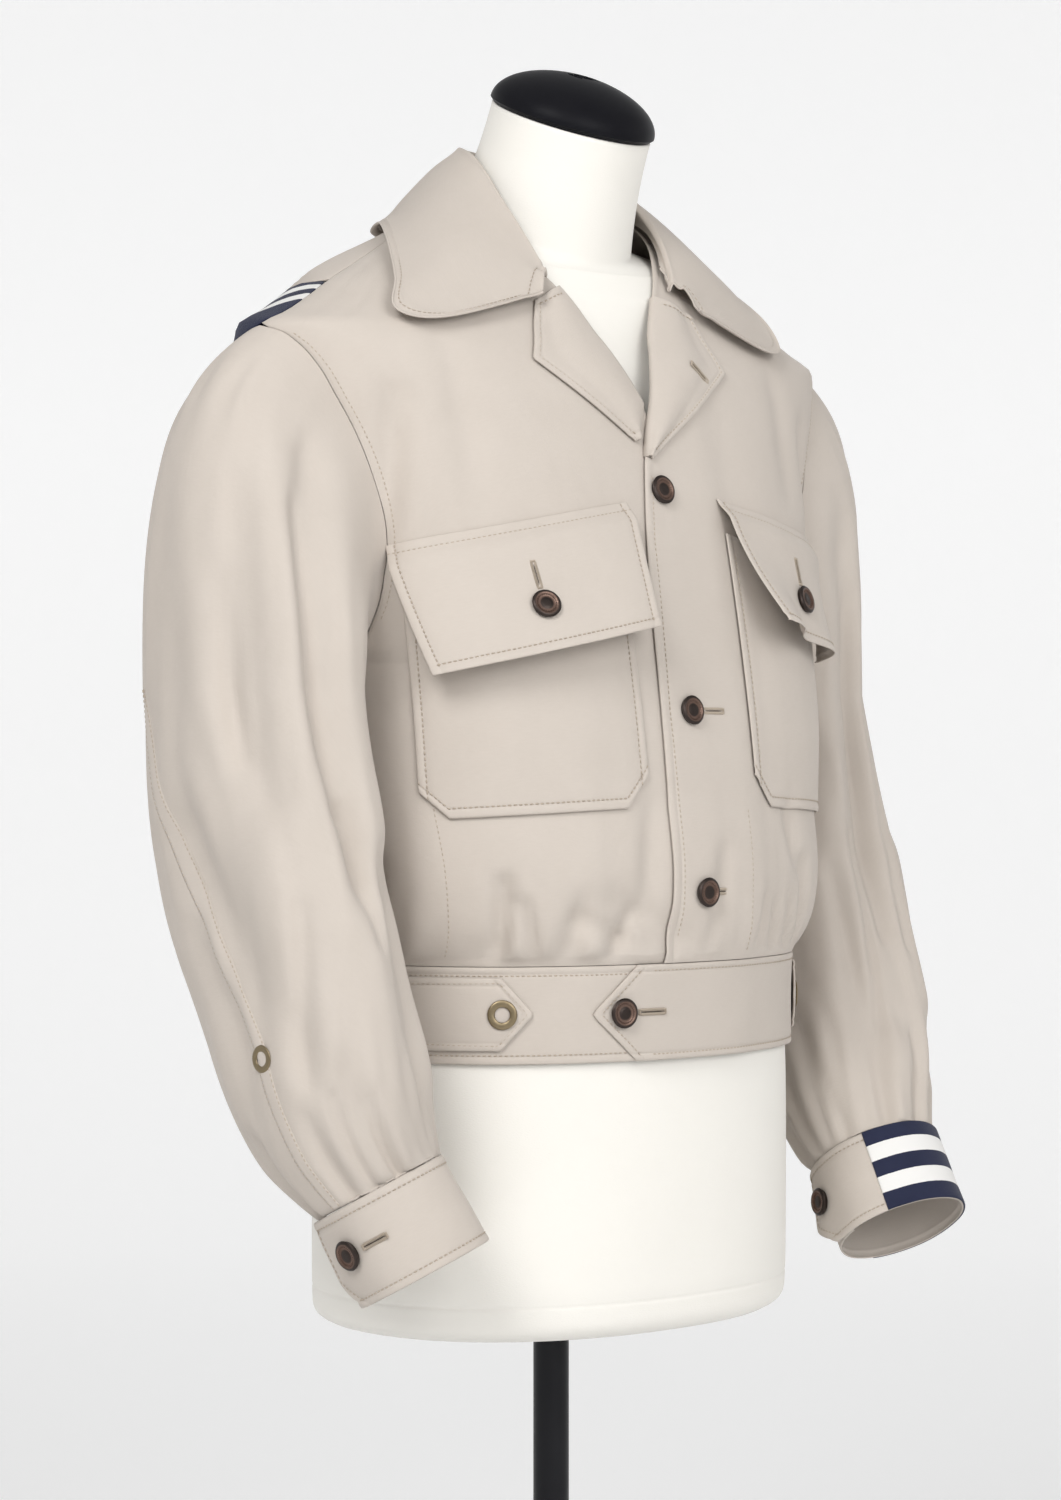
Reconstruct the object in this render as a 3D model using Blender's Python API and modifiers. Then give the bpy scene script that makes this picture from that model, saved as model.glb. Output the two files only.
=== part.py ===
"""Flight jacket worn on a limbless dress form, on its pole and round base.

Metres, +Z up. The wearer faces -Y, so the wearer's right is -X. The origin is the
centre of the base's underside. Every cloth piece is a thin wall whose outer face comes
from the section tables below.
"""

import math

import bmesh
import bpy
import numpy as np
from mathutils import Matrix, Vector

WALL = 0.0018
SEAM_GAP = 0.0003
LAYER = WALL + SEAM_GAP
CLEAR = 0.0008

# Heights of the jacket
BAND_BOTTOM = 0.694
BAND_TOP = 0.758
UNDERARM = 0.958
SHOULDER_TIP = 1.178
NECK_TOP = 1.281

# The body of the jacket, a row for each level: half width, depth in front of and behind
# the section's centre, the centre's y, and how square the section is (1 is an ellipse).
BODY_COLUMNS = ("z", "half_width", "front", "back", "centre_y", "roundness")
BODY_SECTIONS = (
    (0.694, 0.1800, 0.1425, 0.1330, 0.000, 0.90),
    (0.758, 0.1810, 0.1440, 0.1350, 0.000, 0.90),
    (0.768, 0.1860, 0.1480, 0.1410, 0.000, 0.88),
    (0.785, 0.1940, 0.1515, 0.1510, 0.000, 0.86),
    (0.815, 0.1990, 0.1520, 0.1560, 0.000, 0.84),
    (0.870, 0.1980, 0.1470, 0.1550, 0.002, 0.82),
    (0.926, 0.1990, 0.1410, 0.1530, 0.004, 0.80),
    (1.000, 0.2080, 0.1330, 0.1450, 0.009, 0.80),
    (1.067, 0.2220, 0.1240, 0.1390, 0.014, 0.80),
    (1.110, 0.2320, 0.1180, 0.1340, 0.018, 0.82),
    (1.150, 0.2460, 0.1060, 0.1300, 0.015, 0.88),
    (1.178, 0.2510, 0.0850, 0.1250, 0.006, 0.95),
    (1.190, 0.2290, 0.0795, 0.1200, 0.006, 0.97),
    (1.202, 0.2090, 0.0770, 0.1140, 0.008, 1.00),
    (1.214, 0.1900, 0.0740, 0.1070, 0.011, 1.00),
    (1.2255, 0.1690, 0.0705, 0.1000, 0.015, 1.00),
    (1.243, 0.1370, 0.0670, 0.0900, 0.022, 1.00),
    (1.258, 0.1120, 0.0650, 0.0770, 0.027, 1.00),
    (1.270, 0.0970, 0.0620, 0.0660, 0.031, 1.00),
    (1.281, 0.0830, 0.0590, 0.0560, 0.035, 1.00),
)

# Behind the shoulder seams the cloth rises this far to the ridge of the shoulders
RIDGE_RISE = 0.014

# The roll line and neckline: x of each front's inner edge from the break up to the neck
ROLL_COLUMNS = ("z", "right_x", "left_x")
ROLL_LINE = (
    (0.7583, 0.0220, -0.0290),
    (0.926, 0.0220, -0.0265),
    (1.040, 0.0220, -0.0200),
    (1.090, 0.0190, -0.0110),
    (1.112, 0.0100, -0.0040),
    (1.135, -0.0020, 0.0040),
    (1.166, -0.0200, 0.0140),
    (1.209, -0.0450, 0.0360),
    (1.232, -0.0600, 0.0540),
    (1.258, -0.0740, 0.0710),
    (1.281, -0.0815, 0.0815),
)

# The armhole, as the angle round the body from the front, before and behind the sleeve
ARMHOLE_COLUMNS = ("z", "front_angle", "back_angle")
ARMHOLE = (
    (0.958, 90.0, 90.5),
    (0.966, 80.0, 99.0),
    (0.985, 72.0, 106.0),
    (1.020, 65.0, 112.0),
    (1.060, 62.0, 116.0),
    (1.094, 62.5, 116.0),
    (1.130, 65.5, 112.0),
    (1.152, 68.5, 107.0),
    (1.166, 74.0, 102.0),
    (1.174, 81.0, 96.5),
    (1.178, 90.0, 90.5),
)

# The seam below the arm, where a front meets the striped strip
SIDE_SEAM_COLUMNS = ("z", "angle")
SIDE_SEAM = (
    (0.7583, 109.0),
    (0.870, 105.0),
    (0.930, 99.0),
    (0.958, 90.5),
)

# The seam between the striped strip and the middle of the back
STRIP_INNER_COLUMNS = ("z", "angle")
STRIP_INNER = (
    (0.7583, 134.0),
    (0.870, 132.0),
    (1.060, 131.5),
    (1.130, 135.5),
    (1.152, 135.5),
    (1.178, 133.5),
    (1.190, 124.0),
    (1.2010, 113.0),
    (1.2065, 105.0),
    (1.2120, 93.0),
)
STRIP_TOP = 1.2120

# Folds of the body: start and end as distance round from the centre front (left is
# positive) and height, how deep the trough is (a ridge is negative), and its half width.
BODY_FOLDS = (
    (-0.150, 0.762, -0.153, 0.812, 0.0055, 0.0070),
    (-0.105, 0.764, -0.098, 0.800, 0.0035, 0.0090),
    (0.128, 0.762, 0.124, 0.822, 0.0055, 0.0070),
    (0.090, 0.764, 0.084, 0.795, 0.0035, 0.0090),
    (-0.020, 0.775, -0.075, 0.800, 0.0035, 0.0120),
    (-0.050, 0.795, -0.040, 0.860, 0.0030, 0.0100),
    (-0.196, 1.130, -0.215, 1.030, 0.0040, 0.0120),
    (0.196, 1.130, 0.215, 1.030, 0.0040, 0.0120),
    (0.330, 0.764, 0.325, 0.820, 0.0050, 0.0080),
    (-0.330, 0.764, -0.325, 0.820, 0.0050, 0.0080),
    (0.420, 0.764, 0.424, 0.800, 0.0040, 0.0090),
    (-0.420, 0.764, -0.424, 0.806, 0.0040, 0.0090),
    (0.250, 0.764, 0.245, 0.830, 0.0045, 0.0110),
    (-0.250, 0.764, -0.247, 0.822, 0.0045, 0.0110),
)

# Sleeves, a row for each section below the armhole: the centre, the half width from
# the outer to the inner side, and the half depth from front to back.
SLEEVE_COLUMNS = ("x", "y", "z", "half_width", "half_depth")
SLEEVE_SECTIONS = {
    "right": (
        (-0.2660, -0.0020, 0.9400, 0.0560, 0.0960),
        (-0.2680, -0.0150, 0.8780, 0.0560, 0.0940),
        (-0.2680, -0.0350, 0.8100, 0.0560, 0.0900),
        (-0.2660, -0.0560, 0.7520, 0.0560, 0.0840),
        (-0.2590, -0.0720, 0.6960, 0.0560, 0.0740),
        (-0.2490, -0.0840, 0.6560, 0.0530, 0.0630),
        (-0.2410, -0.0910, 0.6370, 0.0470, 0.0530),
        (-0.2360, -0.0945, 0.6270, 0.0415, 0.0455),
    ),
    "left": (
        (0.2530, 0.0240, 0.9400, 0.0490, 0.0790),
        (0.2610, 0.0190, 0.8780, 0.0500, 0.0790),
        (0.2650, 0.0080, 0.8100, 0.0520, 0.0770),
        (0.2620, -0.0130, 0.7520, 0.0530, 0.0740),
        (0.2550, -0.0370, 0.6960, 0.0540, 0.0690),
        (0.2440, -0.0640, 0.6480, 0.0530, 0.0590),
        (0.2390, -0.0760, 0.6260, 0.0470, 0.0520),
        (0.2370, -0.0840, 0.6150, 0.0415, 0.0455),
    ),
}

# Folds of a sleeve: start and end as angle round it (0 outer, 90 front, 180 inner,
# 270 back) and share of its length, depth of the trough, and half width in degrees. The
# whole length counts as SLEEVE_FOLD_LENGTH degrees.
SLEEVE_FOLD_LENGTH = 300.0
SLEEVE_FOLDS = {
    "right": (
        (78, 0.10, 92, 0.62, 0.0100, 15),
        (34, 0.18, 40, 0.46, 0.0060, 13),
        (352, 0.50, 20, 0.76, 0.0060, 13),
        (58, 0.86, 66, 0.99, 0.0055, 9),
        (30, 0.90, 32, 0.99, 0.0045, 8),
        (120, 0.60, 128, 0.97, 0.0060, 13),
        (228, 0.14, 236, 0.60, 0.0080, 16),
        (262, 0.62, 250, 0.95, 0.0060, 12),
        (310, 0.16, 304, 0.42, 0.0050, 13),
    ),
    "left": (
        (88, 0.16, 96, 0.84, 0.0100, 17),
        (52, 0.20, 60, 0.50, 0.0050, 13),
        (128, 0.62, 122, 0.97, 0.0060, 13),
        (20, 0.55, 28, 0.80, 0.0050, 13),
        (55, 0.86, 62, 0.99, 0.0050, 9),
        (226, 0.16, 234, 0.62, 0.0080, 16),
        (262, 0.60, 252, 0.95, 0.0060, 12),
        (308, 0.18, 302, 0.44, 0.0050, 13),
    ),
}

# The collar's right half from the centre back to its front end: the neck seam, the
# roll line that shows as its top edge, and the outer edge as the body's angle, level
# and how far it stands off the body there.
COLLAR_COLUMNS = ("seam", "roll", "edge", "left_edge_angle")
COLLAR_STATIONS = (
    ((0.0000, 0.0895, 1.2817), (0.0000, 0.0740, 1.3260), (180.0, 1.2500, 0.0075), 180.0),
    ((-0.0350, 0.0840, 1.2817), (-0.0260, 0.0660, 1.3260), (158.0, 1.2510, 0.0075), 158.0),
    ((-0.0640, 0.0670, 1.2817), (-0.0460, 0.0440, 1.3220), (132.0, 1.2520, 0.0085), 132.0),
    ((-0.0800, 0.0420, 1.2817), (-0.0590, 0.0180, 1.3130), (102.0, 1.2540, 0.0085), 102.0),
    ((-0.0805, 0.0140, 1.2815), (-0.0665, -0.0060, 1.2970), (77.0, 1.2380, 0.0085), 76.0),
    ((-0.0780, -0.0060, 1.2735), (-0.0695, -0.0260, 1.2770), (57.0, 1.2070, 0.0085), 52.0),
    ((-0.0740, -0.0225, 1.2635), (-0.0685, -0.0410, 1.2590), (48.0, 1.1830, 0.0085), 40.0),
    ((-0.0675, -0.0375, 1.2485), (-0.0650, -0.0520, 1.2420), (37.0, 1.1800, 0.0095), 31.0),
    ((-0.0615, -0.0470, 1.2375), (-0.0605, -0.0605, 1.2260), (20.5, 1.2020, 0.0105), 20.0),
)

# The dress form, with the same columns as the body
FORM_SECTIONS = (
    (0.5100, 0.1655, 0.1260, 0.1240, 0.000, 0.90),
    (0.5140, 0.1730, 0.1325, 0.1305, 0.000, 0.90),
    (0.5260, 0.1770, 0.1370, 0.1345, 0.000, 0.90),
    (0.5600, 0.1775, 0.1380, 0.1345, 0.000, 0.90),
    (0.6300, 0.1775, 0.1385, 0.1330, 0.000, 0.90),
    (0.7300, 0.1745, 0.1360, 0.1265, 0.000, 0.90),
    (0.8400, 0.1600, 0.1220, 0.1150, 0.000, 0.90),
    (0.9200, 0.1600, 0.1180, 0.1180, 0.004, 0.88),
    (1.0000, 0.1700, 0.1160, 0.1230, 0.009, 0.86),
    (1.0700, 0.1830, 0.1080, 0.1220, 0.014, 0.86),
    (1.1200, 0.1900, 0.0980, 0.1160, 0.016, 0.90),
    (1.1600, 0.1920, 0.0850, 0.1080, 0.012, 0.95),
    (1.1800, 0.1900, 0.0740, 0.1020, 0.007, 1.00),
)
FORM_INSET = WALL + 0.0017
FORM_BOTTOM = FORM_SECTIONS[0][0]
FORM_SHOULDER_FROM = 1.212
# Height of the neck seam in front, at the sides and behind
FORM_NECKLINE = {"front": 1.2320, "side": 1.2620, "back": 1.2720}
NECK_RADIUS = 0.0570
NECK_SPREAD = 0.0080
NECK_BASE = (0.010, 1.2620)
NECK_CAP = (-0.021, 1.3370)
NECK_TILT = math.radians(23.0)

CAP_RADIUS = 0.0590
CAP_HEIGHT = 0.0290
CAP_FOOT = 0.0030
CAP_SOCKET_RADIUS = 0.0130
CAP_SOCKET_DEPTH = 0.0120
POLE_RADIUS = 0.0125
BASE_RADIUS = 0.1600
BASE_HEIGHT = 0.0180
HUB_RADIUS = 0.0230
HUB_HEIGHT = 0.0260

BUTTON_RADIUS = 0.0100
BUTTON_THICK = 0.0038
EYELET_THICK = 0.0012
EYELET_SIDES = 5

CUFF_HEIGHT = 0.0620
CUFF_AXIS = {"right": (0.334, -0.436, -1.0), "left": (-0.134, -0.640, -1.0)}
CUFF_CENTRE = {"right": (-0.2335, -0.0965, 0.6215), "left": (0.2355, -0.0895, 0.6085)}
CUFF_HALF = (0.0435, 0.0475)

SIDES = {"right": -1.0, "left": 1.0}

COLOURS = {
    "cotton": ((0.66, 0.60, 0.53), 0.85, 0.0),
    "navy": ((0.012, 0.018, 0.060), 0.85, 0.0),
    "form": ((0.86, 0.84, 0.78), 0.80, 0.0),
    "black": ((0.012, 0.012, 0.014), 0.30, 0.0),
    "horn": ((0.07, 0.045, 0.04), 0.35, 0.3),
    "brass": ((0.30, 0.24, 0.14), 0.35, 1.0),
}


def read_column(table, columns, name, at):
    """The named column of a table, read smoothly at a value of its first column."""
    keys = np.array([row[0] for row in table], float)
    values = np.array([row[columns.index(name)] for row in table], float)
    return smooth_read(keys, values, at)


def smooth_read(keys, values, at):
    """A monotone cubic through the values, so no row overshoots its neighbours."""
    at = min(max(at, keys[0]), keys[-1])
    index = min(max(int(np.searchsorted(keys, at)) - 1, 0), len(keys) - 2)
    steps = np.diff(keys)
    slopes = np.diff(values) / steps
    tangents = np.concatenate([slopes[:1], (slopes[1:] + slopes[:-1]) / 2, slopes[-1:]])
    for i in range(1, len(values) - 1):
        if slopes[i - 1] * slopes[i] <= 0:
            tangents[i] = 0.0
        else:
            limit = 3 * min(abs(slopes[i - 1]), abs(slopes[i]))
            tangents[i] = math.copysign(min(abs(tangents[i]), limit), tangents[i])
    step = steps[index]
    t = (at - keys[index]) / step
    return float(
        values[index] * (2 * t**3 - 3 * t**2 + 1)
        + tangents[index] * step * (t**3 - 2 * t**2 + t)
        + values[index + 1] * (3 * t**2 - 2 * t**3)
        + tangents[index + 1] * step * (t**3 - t**2)
    )


def ease(value, low, high):
    """0 at low, 1 at high, with soft ends; low may be the larger."""
    t = min(max((value - low) / (high - low), 0.0), 1.0)
    return t * t * (3 - 2 * t)


def section_row(table, z):
    return [read_column(table, BODY_COLUMNS, name, z) for name in BODY_COLUMNS[1:]]


def on_section(row, angle):
    """x and y on a section, at an angle in degrees from the front towards the left."""
    half_width, front, back, centre_y, roundness = row
    across, ahead = math.sin(math.radians(angle)), math.cos(math.radians(angle))
    x = half_width * math.copysign(abs(across) ** roundness, across)
    depth = front if ahead > 0 else back
    return x, centre_y - depth * math.copysign(abs(ahead) ** roundness, ahead)


def ridge_rise(angle, z):
    """How far the back of the shoulder lies above its own level, full at 135 degrees."""
    turn = abs((angle + 180.0) % 360.0 - 180.0)
    if turn <= 90.0:
        return 0.0
    around = math.sin(math.radians(2 * (turn - 90.0)))
    return RIDGE_RISE * around * ease(z, 1.150, 1.215) * ease(z, 1.270, 1.215)


def body_point(angle, z):
    x, y = on_section(section_row(BODY_SECTIONS, z), angle)
    return Vector((x, y, z + ridge_rise(angle, z)))


# Up to this height the cloth is laid on level, so that no layer reaches into the band
LEVEL_HEM_TOP = 0.790


def body_normal(angle, z):
    """The direction straight out of the body's surface."""
    low, high = max(z - 0.004, BAND_BOTTOM), min(z + 0.004, NECK_TOP)
    around = body_point(angle + 1.5, z) - body_point(angle - 1.5, z)
    upward = body_point(angle, high) - body_point(angle, low)
    normal = around.cross(upward)
    normal.z *= ease(z, BAND_TOP, LEVEL_HEM_TOP)
    return normal.normalized()


ANGLE_STEPS = np.linspace(0.0, 180.0, 91)
ARC_CACHE = {}


def arcs_at(z):
    """Distance round the section from the centre front, at each of ANGLE_STEPS."""
    key = round(z, 4)
    if key not in ARC_CACHE:
        row = section_row(BODY_SECTIONS, z)
        points = np.array([on_section(row, a) for a in ANGLE_STEPS])
        lengths = np.hypot(*np.diff(points, axis=0).T)
        ARC_CACHE[key] = np.concatenate([[0.0], np.cumsum(lengths)])
    return ARC_CACHE[key]


def angle_at_arc(arc, z):
    return math.copysign(float(np.interp(abs(arc), arcs_at(z), ANGLE_STEPS)), arc)


def arc_at_angle(angle, z):
    angle = (angle + 180.0) % 360.0 - 180.0
    return math.copysign(float(np.interp(abs(angle), ANGLE_STEPS, arcs_at(z))), angle)


def angle_at_x(x, z):
    """The angle on the front half whose point has this x."""
    half_width, _, _, _, roundness = section_row(BODY_SECTIONS, z)
    share = min(abs(x) / half_width, 1.0) ** (1 / roundness)
    return math.copysign(math.degrees(math.asin(share)), x)


def signed_turn(angle):
    """An angle brought to between -180 and 180 degrees."""
    return (angle + 180.0) % 360.0 - 180.0


def trough(folds, first, second, second_size=1.0, turns=False):
    """How far all the folds pull the surface in at one place.

    second_size brings the second coordinate to the unit of the first, and turns says
    that the first one is an angle.
    """
    total = 0.0
    for start_a, start_b, end_a, end_b, depth, width in folds:
        run_a, off_a = end_a - start_a, first - start_a
        if turns:
            run_a, off_a = signed_turn(run_a), signed_turn(off_a)
        run_b, off_b = (end_b - start_b) * second_size, (second - start_b) * second_size
        near = (off_a * run_a + off_b * run_b) / (run_a**2 + run_b**2)
        near = min(max(near, 0.0), 1.0)
        distance = math.hypot(off_a - near * run_a, off_b - near * run_b) / width
        taper = 0.35 + 0.65 * math.sin(math.pi * (0.15 + 0.7 * near))
        total += depth * taper * math.exp(-distance * distance)
    return total


def cloth_lift(arc, z):
    """How far the body's cloth stands off its section, which only its folds change."""
    return -trough(BODY_FOLDS, arc, z) * ease(z, BAND_TOP, BAND_TOP + 0.012)


def overlap_lift(arc, z):
    """The left front lies over the right one and comes down beside it."""
    return (LAYER + CLEAR) * ease(arc, 0.075, 0.040) * ease(z, 1.215, 1.150)


def panel_point(angle, z, lift=0.0):
    """A point of the body's outer cloth, moved out by lift."""
    arc = arc_at_angle(angle, z)
    amount = cloth_lift(arc, z) + lift
    return body_point(angle, z) + body_normal(angle, z) * amount


def front_point(side, arc, z, lift=0.0):
    """A point of one front, by its distance round from the centre front."""
    over = overlap_lift(arc, z) if side == "left" else 0.0
    return panel_point(angle_at_arc(arc, z), z, over + lift)


def material(name):
    made = bpy.data.materials.get(name)
    if made is None:
        colour, roughness, metallic = COLOURS[name]
        made = bpy.data.materials.new(name)
        made.use_nodes = True
        shader = made.node_tree.nodes["Principled BSDF"]
        shader.inputs["Base Color"].default_value = (*colour, 1.0)
        shader.inputs["Roughness"].default_value = roughness
        shader.inputs["Metallic"].default_value = metallic
        made.diffuse_color = (*colour, 1.0)
    return made


def put(name, mesh, finish, collection):
    obj = bpy.data.objects.new(name, mesh)
    mesh.materials.append(material(finish))
    mesh.shade_smooth()
    collection.objects.link(obj)
    return obj


EDGE_SHARE = 0.012


def with_narrow_edges(share, count):
    """Moves the first and last inner lines of a grid close to its edges.

    The cloth's wall then leaves each edge square to the surface, as its neighbour does.
    """
    line = round(share * count)
    if line in (0, count):
        return share
    if count < 4:
        return share
    return EDGE_SHARE + (1 - 2 * EDGE_SHARE) * (line - 1) / (count - 2)


def grid_mesh(columns, rows, place, closed=False, cuts=(), narrow=False):
    """A grid over the unit square, trimmed by cuts, with every point put in its place."""
    cloth = bmesh.new()
    bmesh.ops.create_grid(cloth, x_segments=columns, y_segments=rows, size=0.5)
    for vert in cloth.verts:
        vert.co += Vector((0.5, 0.5, 0.0))
        if narrow:
            vert.co.x = with_narrow_edges(vert.co.x, columns)
    for point, normal in cuts:
        everything = cloth.verts[:] + cloth.edges[:] + cloth.faces[:]
        bmesh.ops.bisect_plane(
            cloth,
            geom=everything,
            dist=1e-6,
            plane_co=(*point, 0.0),
            plane_no=(*normal, 0.0),
            clear_outer=True,
        )
    for vert in cloth.verts:
        vert.co = place(vert.co.x, vert.co.y)
    if closed:
        bmesh.ops.remove_doubles(cloth, verts=cloth.verts, dist=1e-5)
    return cloth


def sheet(name, cloth, finish, collection, outside, wall=WALL):
    """Gives an open surface its wall, on the side away from outside(point)."""
    cloth.normal_update()
    facing = sum(
        face.normal.dot(outside(face.calc_center_median())) * face.calc_area()
        for face in cloth.faces
    )
    if facing < 0:
        bmesh.ops.reverse_faces(cloth, faces=cloth.faces)
    mesh = bpy.data.meshes.new(name)
    cloth.to_mesh(mesh)
    cloth.free()
    obj = put(name, mesh, finish, collection)
    thick = obj.modifiers.new("wall", "SOLIDIFY")
    thick.thickness = wall
    thick.offset = -1.0
    thick.use_even_offset = False
    return obj


def from_axis(point):
    """Straight away from the body's upright axis."""
    return Vector((point.x, point.y - 0.02, 0.0))


def rows_between(low, high, count):
    return [low + (high - low) * i / (count - 1) for i in range(count)]


def front_outer_angle(z):
    """Where a front ends: the seam below the arm, the armhole, then the shoulder seam."""
    if z < UNDERARM:
        return read_column(SIDE_SEAM, SIDE_SEAM_COLUMNS, "angle", z)
    if z < SHOULDER_TIP:
        return read_column(ARMHOLE, ARMHOLE_COLUMNS, "front_angle", z)
    return 90.0


def strip_outer_angle(z):
    """The strip's outer edge, which follows the same seams from behind."""
    if z < UNDERARM:
        return read_column(SIDE_SEAM, SIDE_SEAM_COLUMNS, "angle", z)
    if z < SHOULDER_TIP:
        return read_column(ARMHOLE, ARMHOLE_COLUMNS, "back_angle", z)
    return 90.5


def seam_step(z):
    """The angle that a seam gap takes at a level."""
    return SEAM_GAP / max(float(arcs_at(z)[-1]), 1e-6) * 180.0


# The levels of the panels' rows, with one at each corner of the armhole and the strip
ROW_HEIGHTS = (
    BAND_TOP + SEAM_GAP,
    0.772,
    0.790,
    0.822,
    0.872,
    UNDERARM,
    1.002,
    1.046,
    1.090,
    1.130,
    1.155,
    1.170,
    SHOULDER_TIP,
    1.190,
    1.201,
    1.2065,
    STRIP_TOP,
    1.2265,
    1.243,
    1.258,
    NECK_TOP,
)
BODY_ROWS = len(ROW_HEIGHTS) - 1
UNDERARM_ROW = ROW_HEIGHTS.index(UNDERARM)
SHOULDER_ROW = ROW_HEIGHTS.index(SHOULDER_TIP)
STRIP_ROWS = ROW_HEIGHTS.index(STRIP_TOP)


def row_height(v):
    """The level of a panel's row, v from 0 at the band to 1 at the neck."""
    return float(np.interp(v * BODY_ROWS, range(BODY_ROWS + 1), ROW_HEIGHTS))


def add_front(side, collection):
    sign = SIDES[side]

    def place(u, v):
        z = row_height(v)
        inner = angle_at_x(read_column(ROLL_LINE, ROLL_COLUMNS, side + "_x", z), z)
        outer = sign * (front_outer_angle(z) - seam_step(z))
        start, end = arc_at_angle(inner, z), arc_at_angle(outer, z)
        return front_point(side, start + (end - start) * u, z)

    cloth = grid_mesh(14, BODY_ROWS, place, narrow=True)
    return sheet("front_" + side, cloth, "cotton", collection, from_axis)


def add_back(collection):
    """The beige middle of the back, from strip to strip and up to the neck."""

    def edge(z):
        if z > STRIP_TOP + SEAM_GAP:
            return 90.0 + 2 * seam_step(z)
        inner = read_column(STRIP_INNER, STRIP_INNER_COLUMNS, "angle", z)
        return inner + seam_step(z) * (2.0 + 4.0 * ease(z, 1.184, 1.210))

    def place(u, v):
        z = row_height(v)
        angle = edge(z) + (360.0 - 2 * edge(z)) * u
        return panel_point(angle, z)

    cloth = grid_mesh(20, BODY_ROWS, place, narrow=True)
    return sheet("back", cloth, "cotton", collection, from_axis)


def add_strip(side, collection):
    """The striped strip behind one armhole, from the waistband to the shoulder seam."""
    sign = SIDES[side]

    def place(u, v):
        z = row_height(v * STRIP_ROWS / BODY_ROWS)
        inner = read_column(STRIP_INNER, STRIP_INNER_COLUMNS, "angle", z)
        outer = strip_outer_angle(z) + seam_step(z)
        return panel_point(sign * (outer + (inner - outer) * u), z)

    cloth = grid_mesh(5, STRIP_ROWS, place, narrow=True)
    return sheet("back_strip_" + side, cloth, "navy", collection, from_axis)


# Waistband: where its under end starts and its pointed end stops, as distances round
# from the centre front; the pointed end lies on top, on the wearer's right.
BAND_UNDER_END = 0.030
BAND_POINT = -0.083
BAND_SHOULDER = -0.050


def band_point(arc, z, lift=0.0):
    """A point of the waistband's outer face; arc runs from the under end, all round."""
    row = section_row(BODY_SECTIONS, z)
    half = float(arcs_at(z)[-1])
    turned = (arc + half) % (2 * half) - half
    angle = angle_at_arc(turned, z)
    x, y = on_section(row, angle)
    ahead, behind = on_section(row, angle + 1.0), on_section(row, angle - 1.0)
    normal = Vector((-(behind[1] - ahead[1]), behind[0] - ahead[0], 0.0)).normalized()
    outward = Vector((x, y, 0.0))
    if normal.dot(outward) < 0:
        normal = -normal
    return Vector((x, y, z)) + normal * lift


def add_band(collection):
    """One strip from the under end, round the wearer's right, back and left, to the point."""

    def place(u, v):
        z = BAND_BOTTOM + (BAND_TOP - BAND_BOTTOM) * v
        half = float(arcs_at(z)[-1])
        reach = 1 - abs(2 * v - 1)
        end = -(BAND_SHOULDER + (BAND_POINT - BAND_SHOULDER) * min(reach * 1.08, 1.0))
        start = -BAND_UNDER_END
        arc = start + (2 * half + end - start) * u
        lift = (LAYER + 0.0003) * ease(arc, 2 * half - 0.075, 2 * half - 0.040)
        return band_point(-arc, z, lift)

    cloth = grid_mesh(48, 4, place)
    return sheet("waistband", cloth, "cotton", collection, from_axis)


# Side adjuster tabs on the band: distance round of the point and of the back end
TAB_POINT = {"right": -0.124, "left": 0.150}
TAB_LENGTH = 0.120
TAB_TIP = 0.021
TAB_HEIGHT = 0.0480
TAB_MIDDLE = 0.7270
TAB_EYELET_IN = 0.0200


def add_tab(side, collection):
    sign = SIDES[side]

    def place(u, v):
        z = TAB_MIDDLE + TAB_HEIGHT * (v - 0.5)
        tip = TAB_TIP * (1 - min((1 - abs(2 * v - 1)) * 1.1, 1.0))
        arc = TAB_POINT[side] + sign * (tip + (TAB_LENGTH - tip) * u)
        return band_point(arc, z, LAYER + CLEAR)

    cloth = grid_mesh(8, 2, place)
    return sheet("side_tab_" + side, cloth, "cotton", collection, from_axis, wall=0.0016)


# Chest pockets, by distance round from the centre front and height
POCKET_INNER = {"right": 0.043, "left": 0.057}
POCKET_OUTER = {"right": 0.204, "left": 0.206}
POCKET_BOTTOM = 0.862
POCKET_TOP = 1.048
POCKET_BOTTOM_FALL = 0.008
POCKET_TOP_FALL = 0.032
POCKET_CHAMFER = (0.019, 0.021)
POCKET_LIFT = LAYER + CLEAR
FLAP_INNER = {"right": 0.032, "left": 0.054}
FLAP_OUTER = {"right": 0.214, "left": 0.206}
FLAP_TOP_INNER = {"right": 1.0660, "left": 1.0720}
FLAP_TOP_OUTER = {"right": 1.0330, "left": 1.0480}
FLAP_DROP = 0.0860
FLAP_LIFT = 0.0090
FLAP_SEAM_SHARE = 0.18
FLAP_STAND = {"right": 0.024, "left": 0.030}


def pocket_bulge(u, v):
    """Patch pockets belly out a little in their lower middle."""
    return 0.0035 * math.sin(math.pi * u) * math.sin(math.pi * min(v * 1.2, 1.0))


def add_pocket(side, collection):
    sign = SIDES[side]
    inner, outer = POCKET_INNER[side], POCKET_OUTER[side]
    width, height = outer - inner, POCKET_TOP - POCKET_BOTTOM
    cut_u, cut_v = POCKET_CHAMFER[0] / width, POCKET_CHAMFER[1] / height
    cuts = (
        ((cut_u, 0.0), (-cut_v, -cut_u)),
        ((1 - cut_u, 0.0), (cut_v, -cut_u)),
    )

    def place(u, v):
        arc = inner + width * u
        fall = POCKET_BOTTOM_FALL + (POCKET_TOP_FALL - POCKET_BOTTOM_FALL) * v
        z = POCKET_BOTTOM + height * v - fall * u
        return front_point(side, sign * arc, z, POCKET_LIFT + pocket_bulge(u, v))

    cloth = grid_mesh(9, 9, place, cuts=cuts)
    return sheet("pocket_" + side, cloth, "cotton", collection, from_axis)


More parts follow.
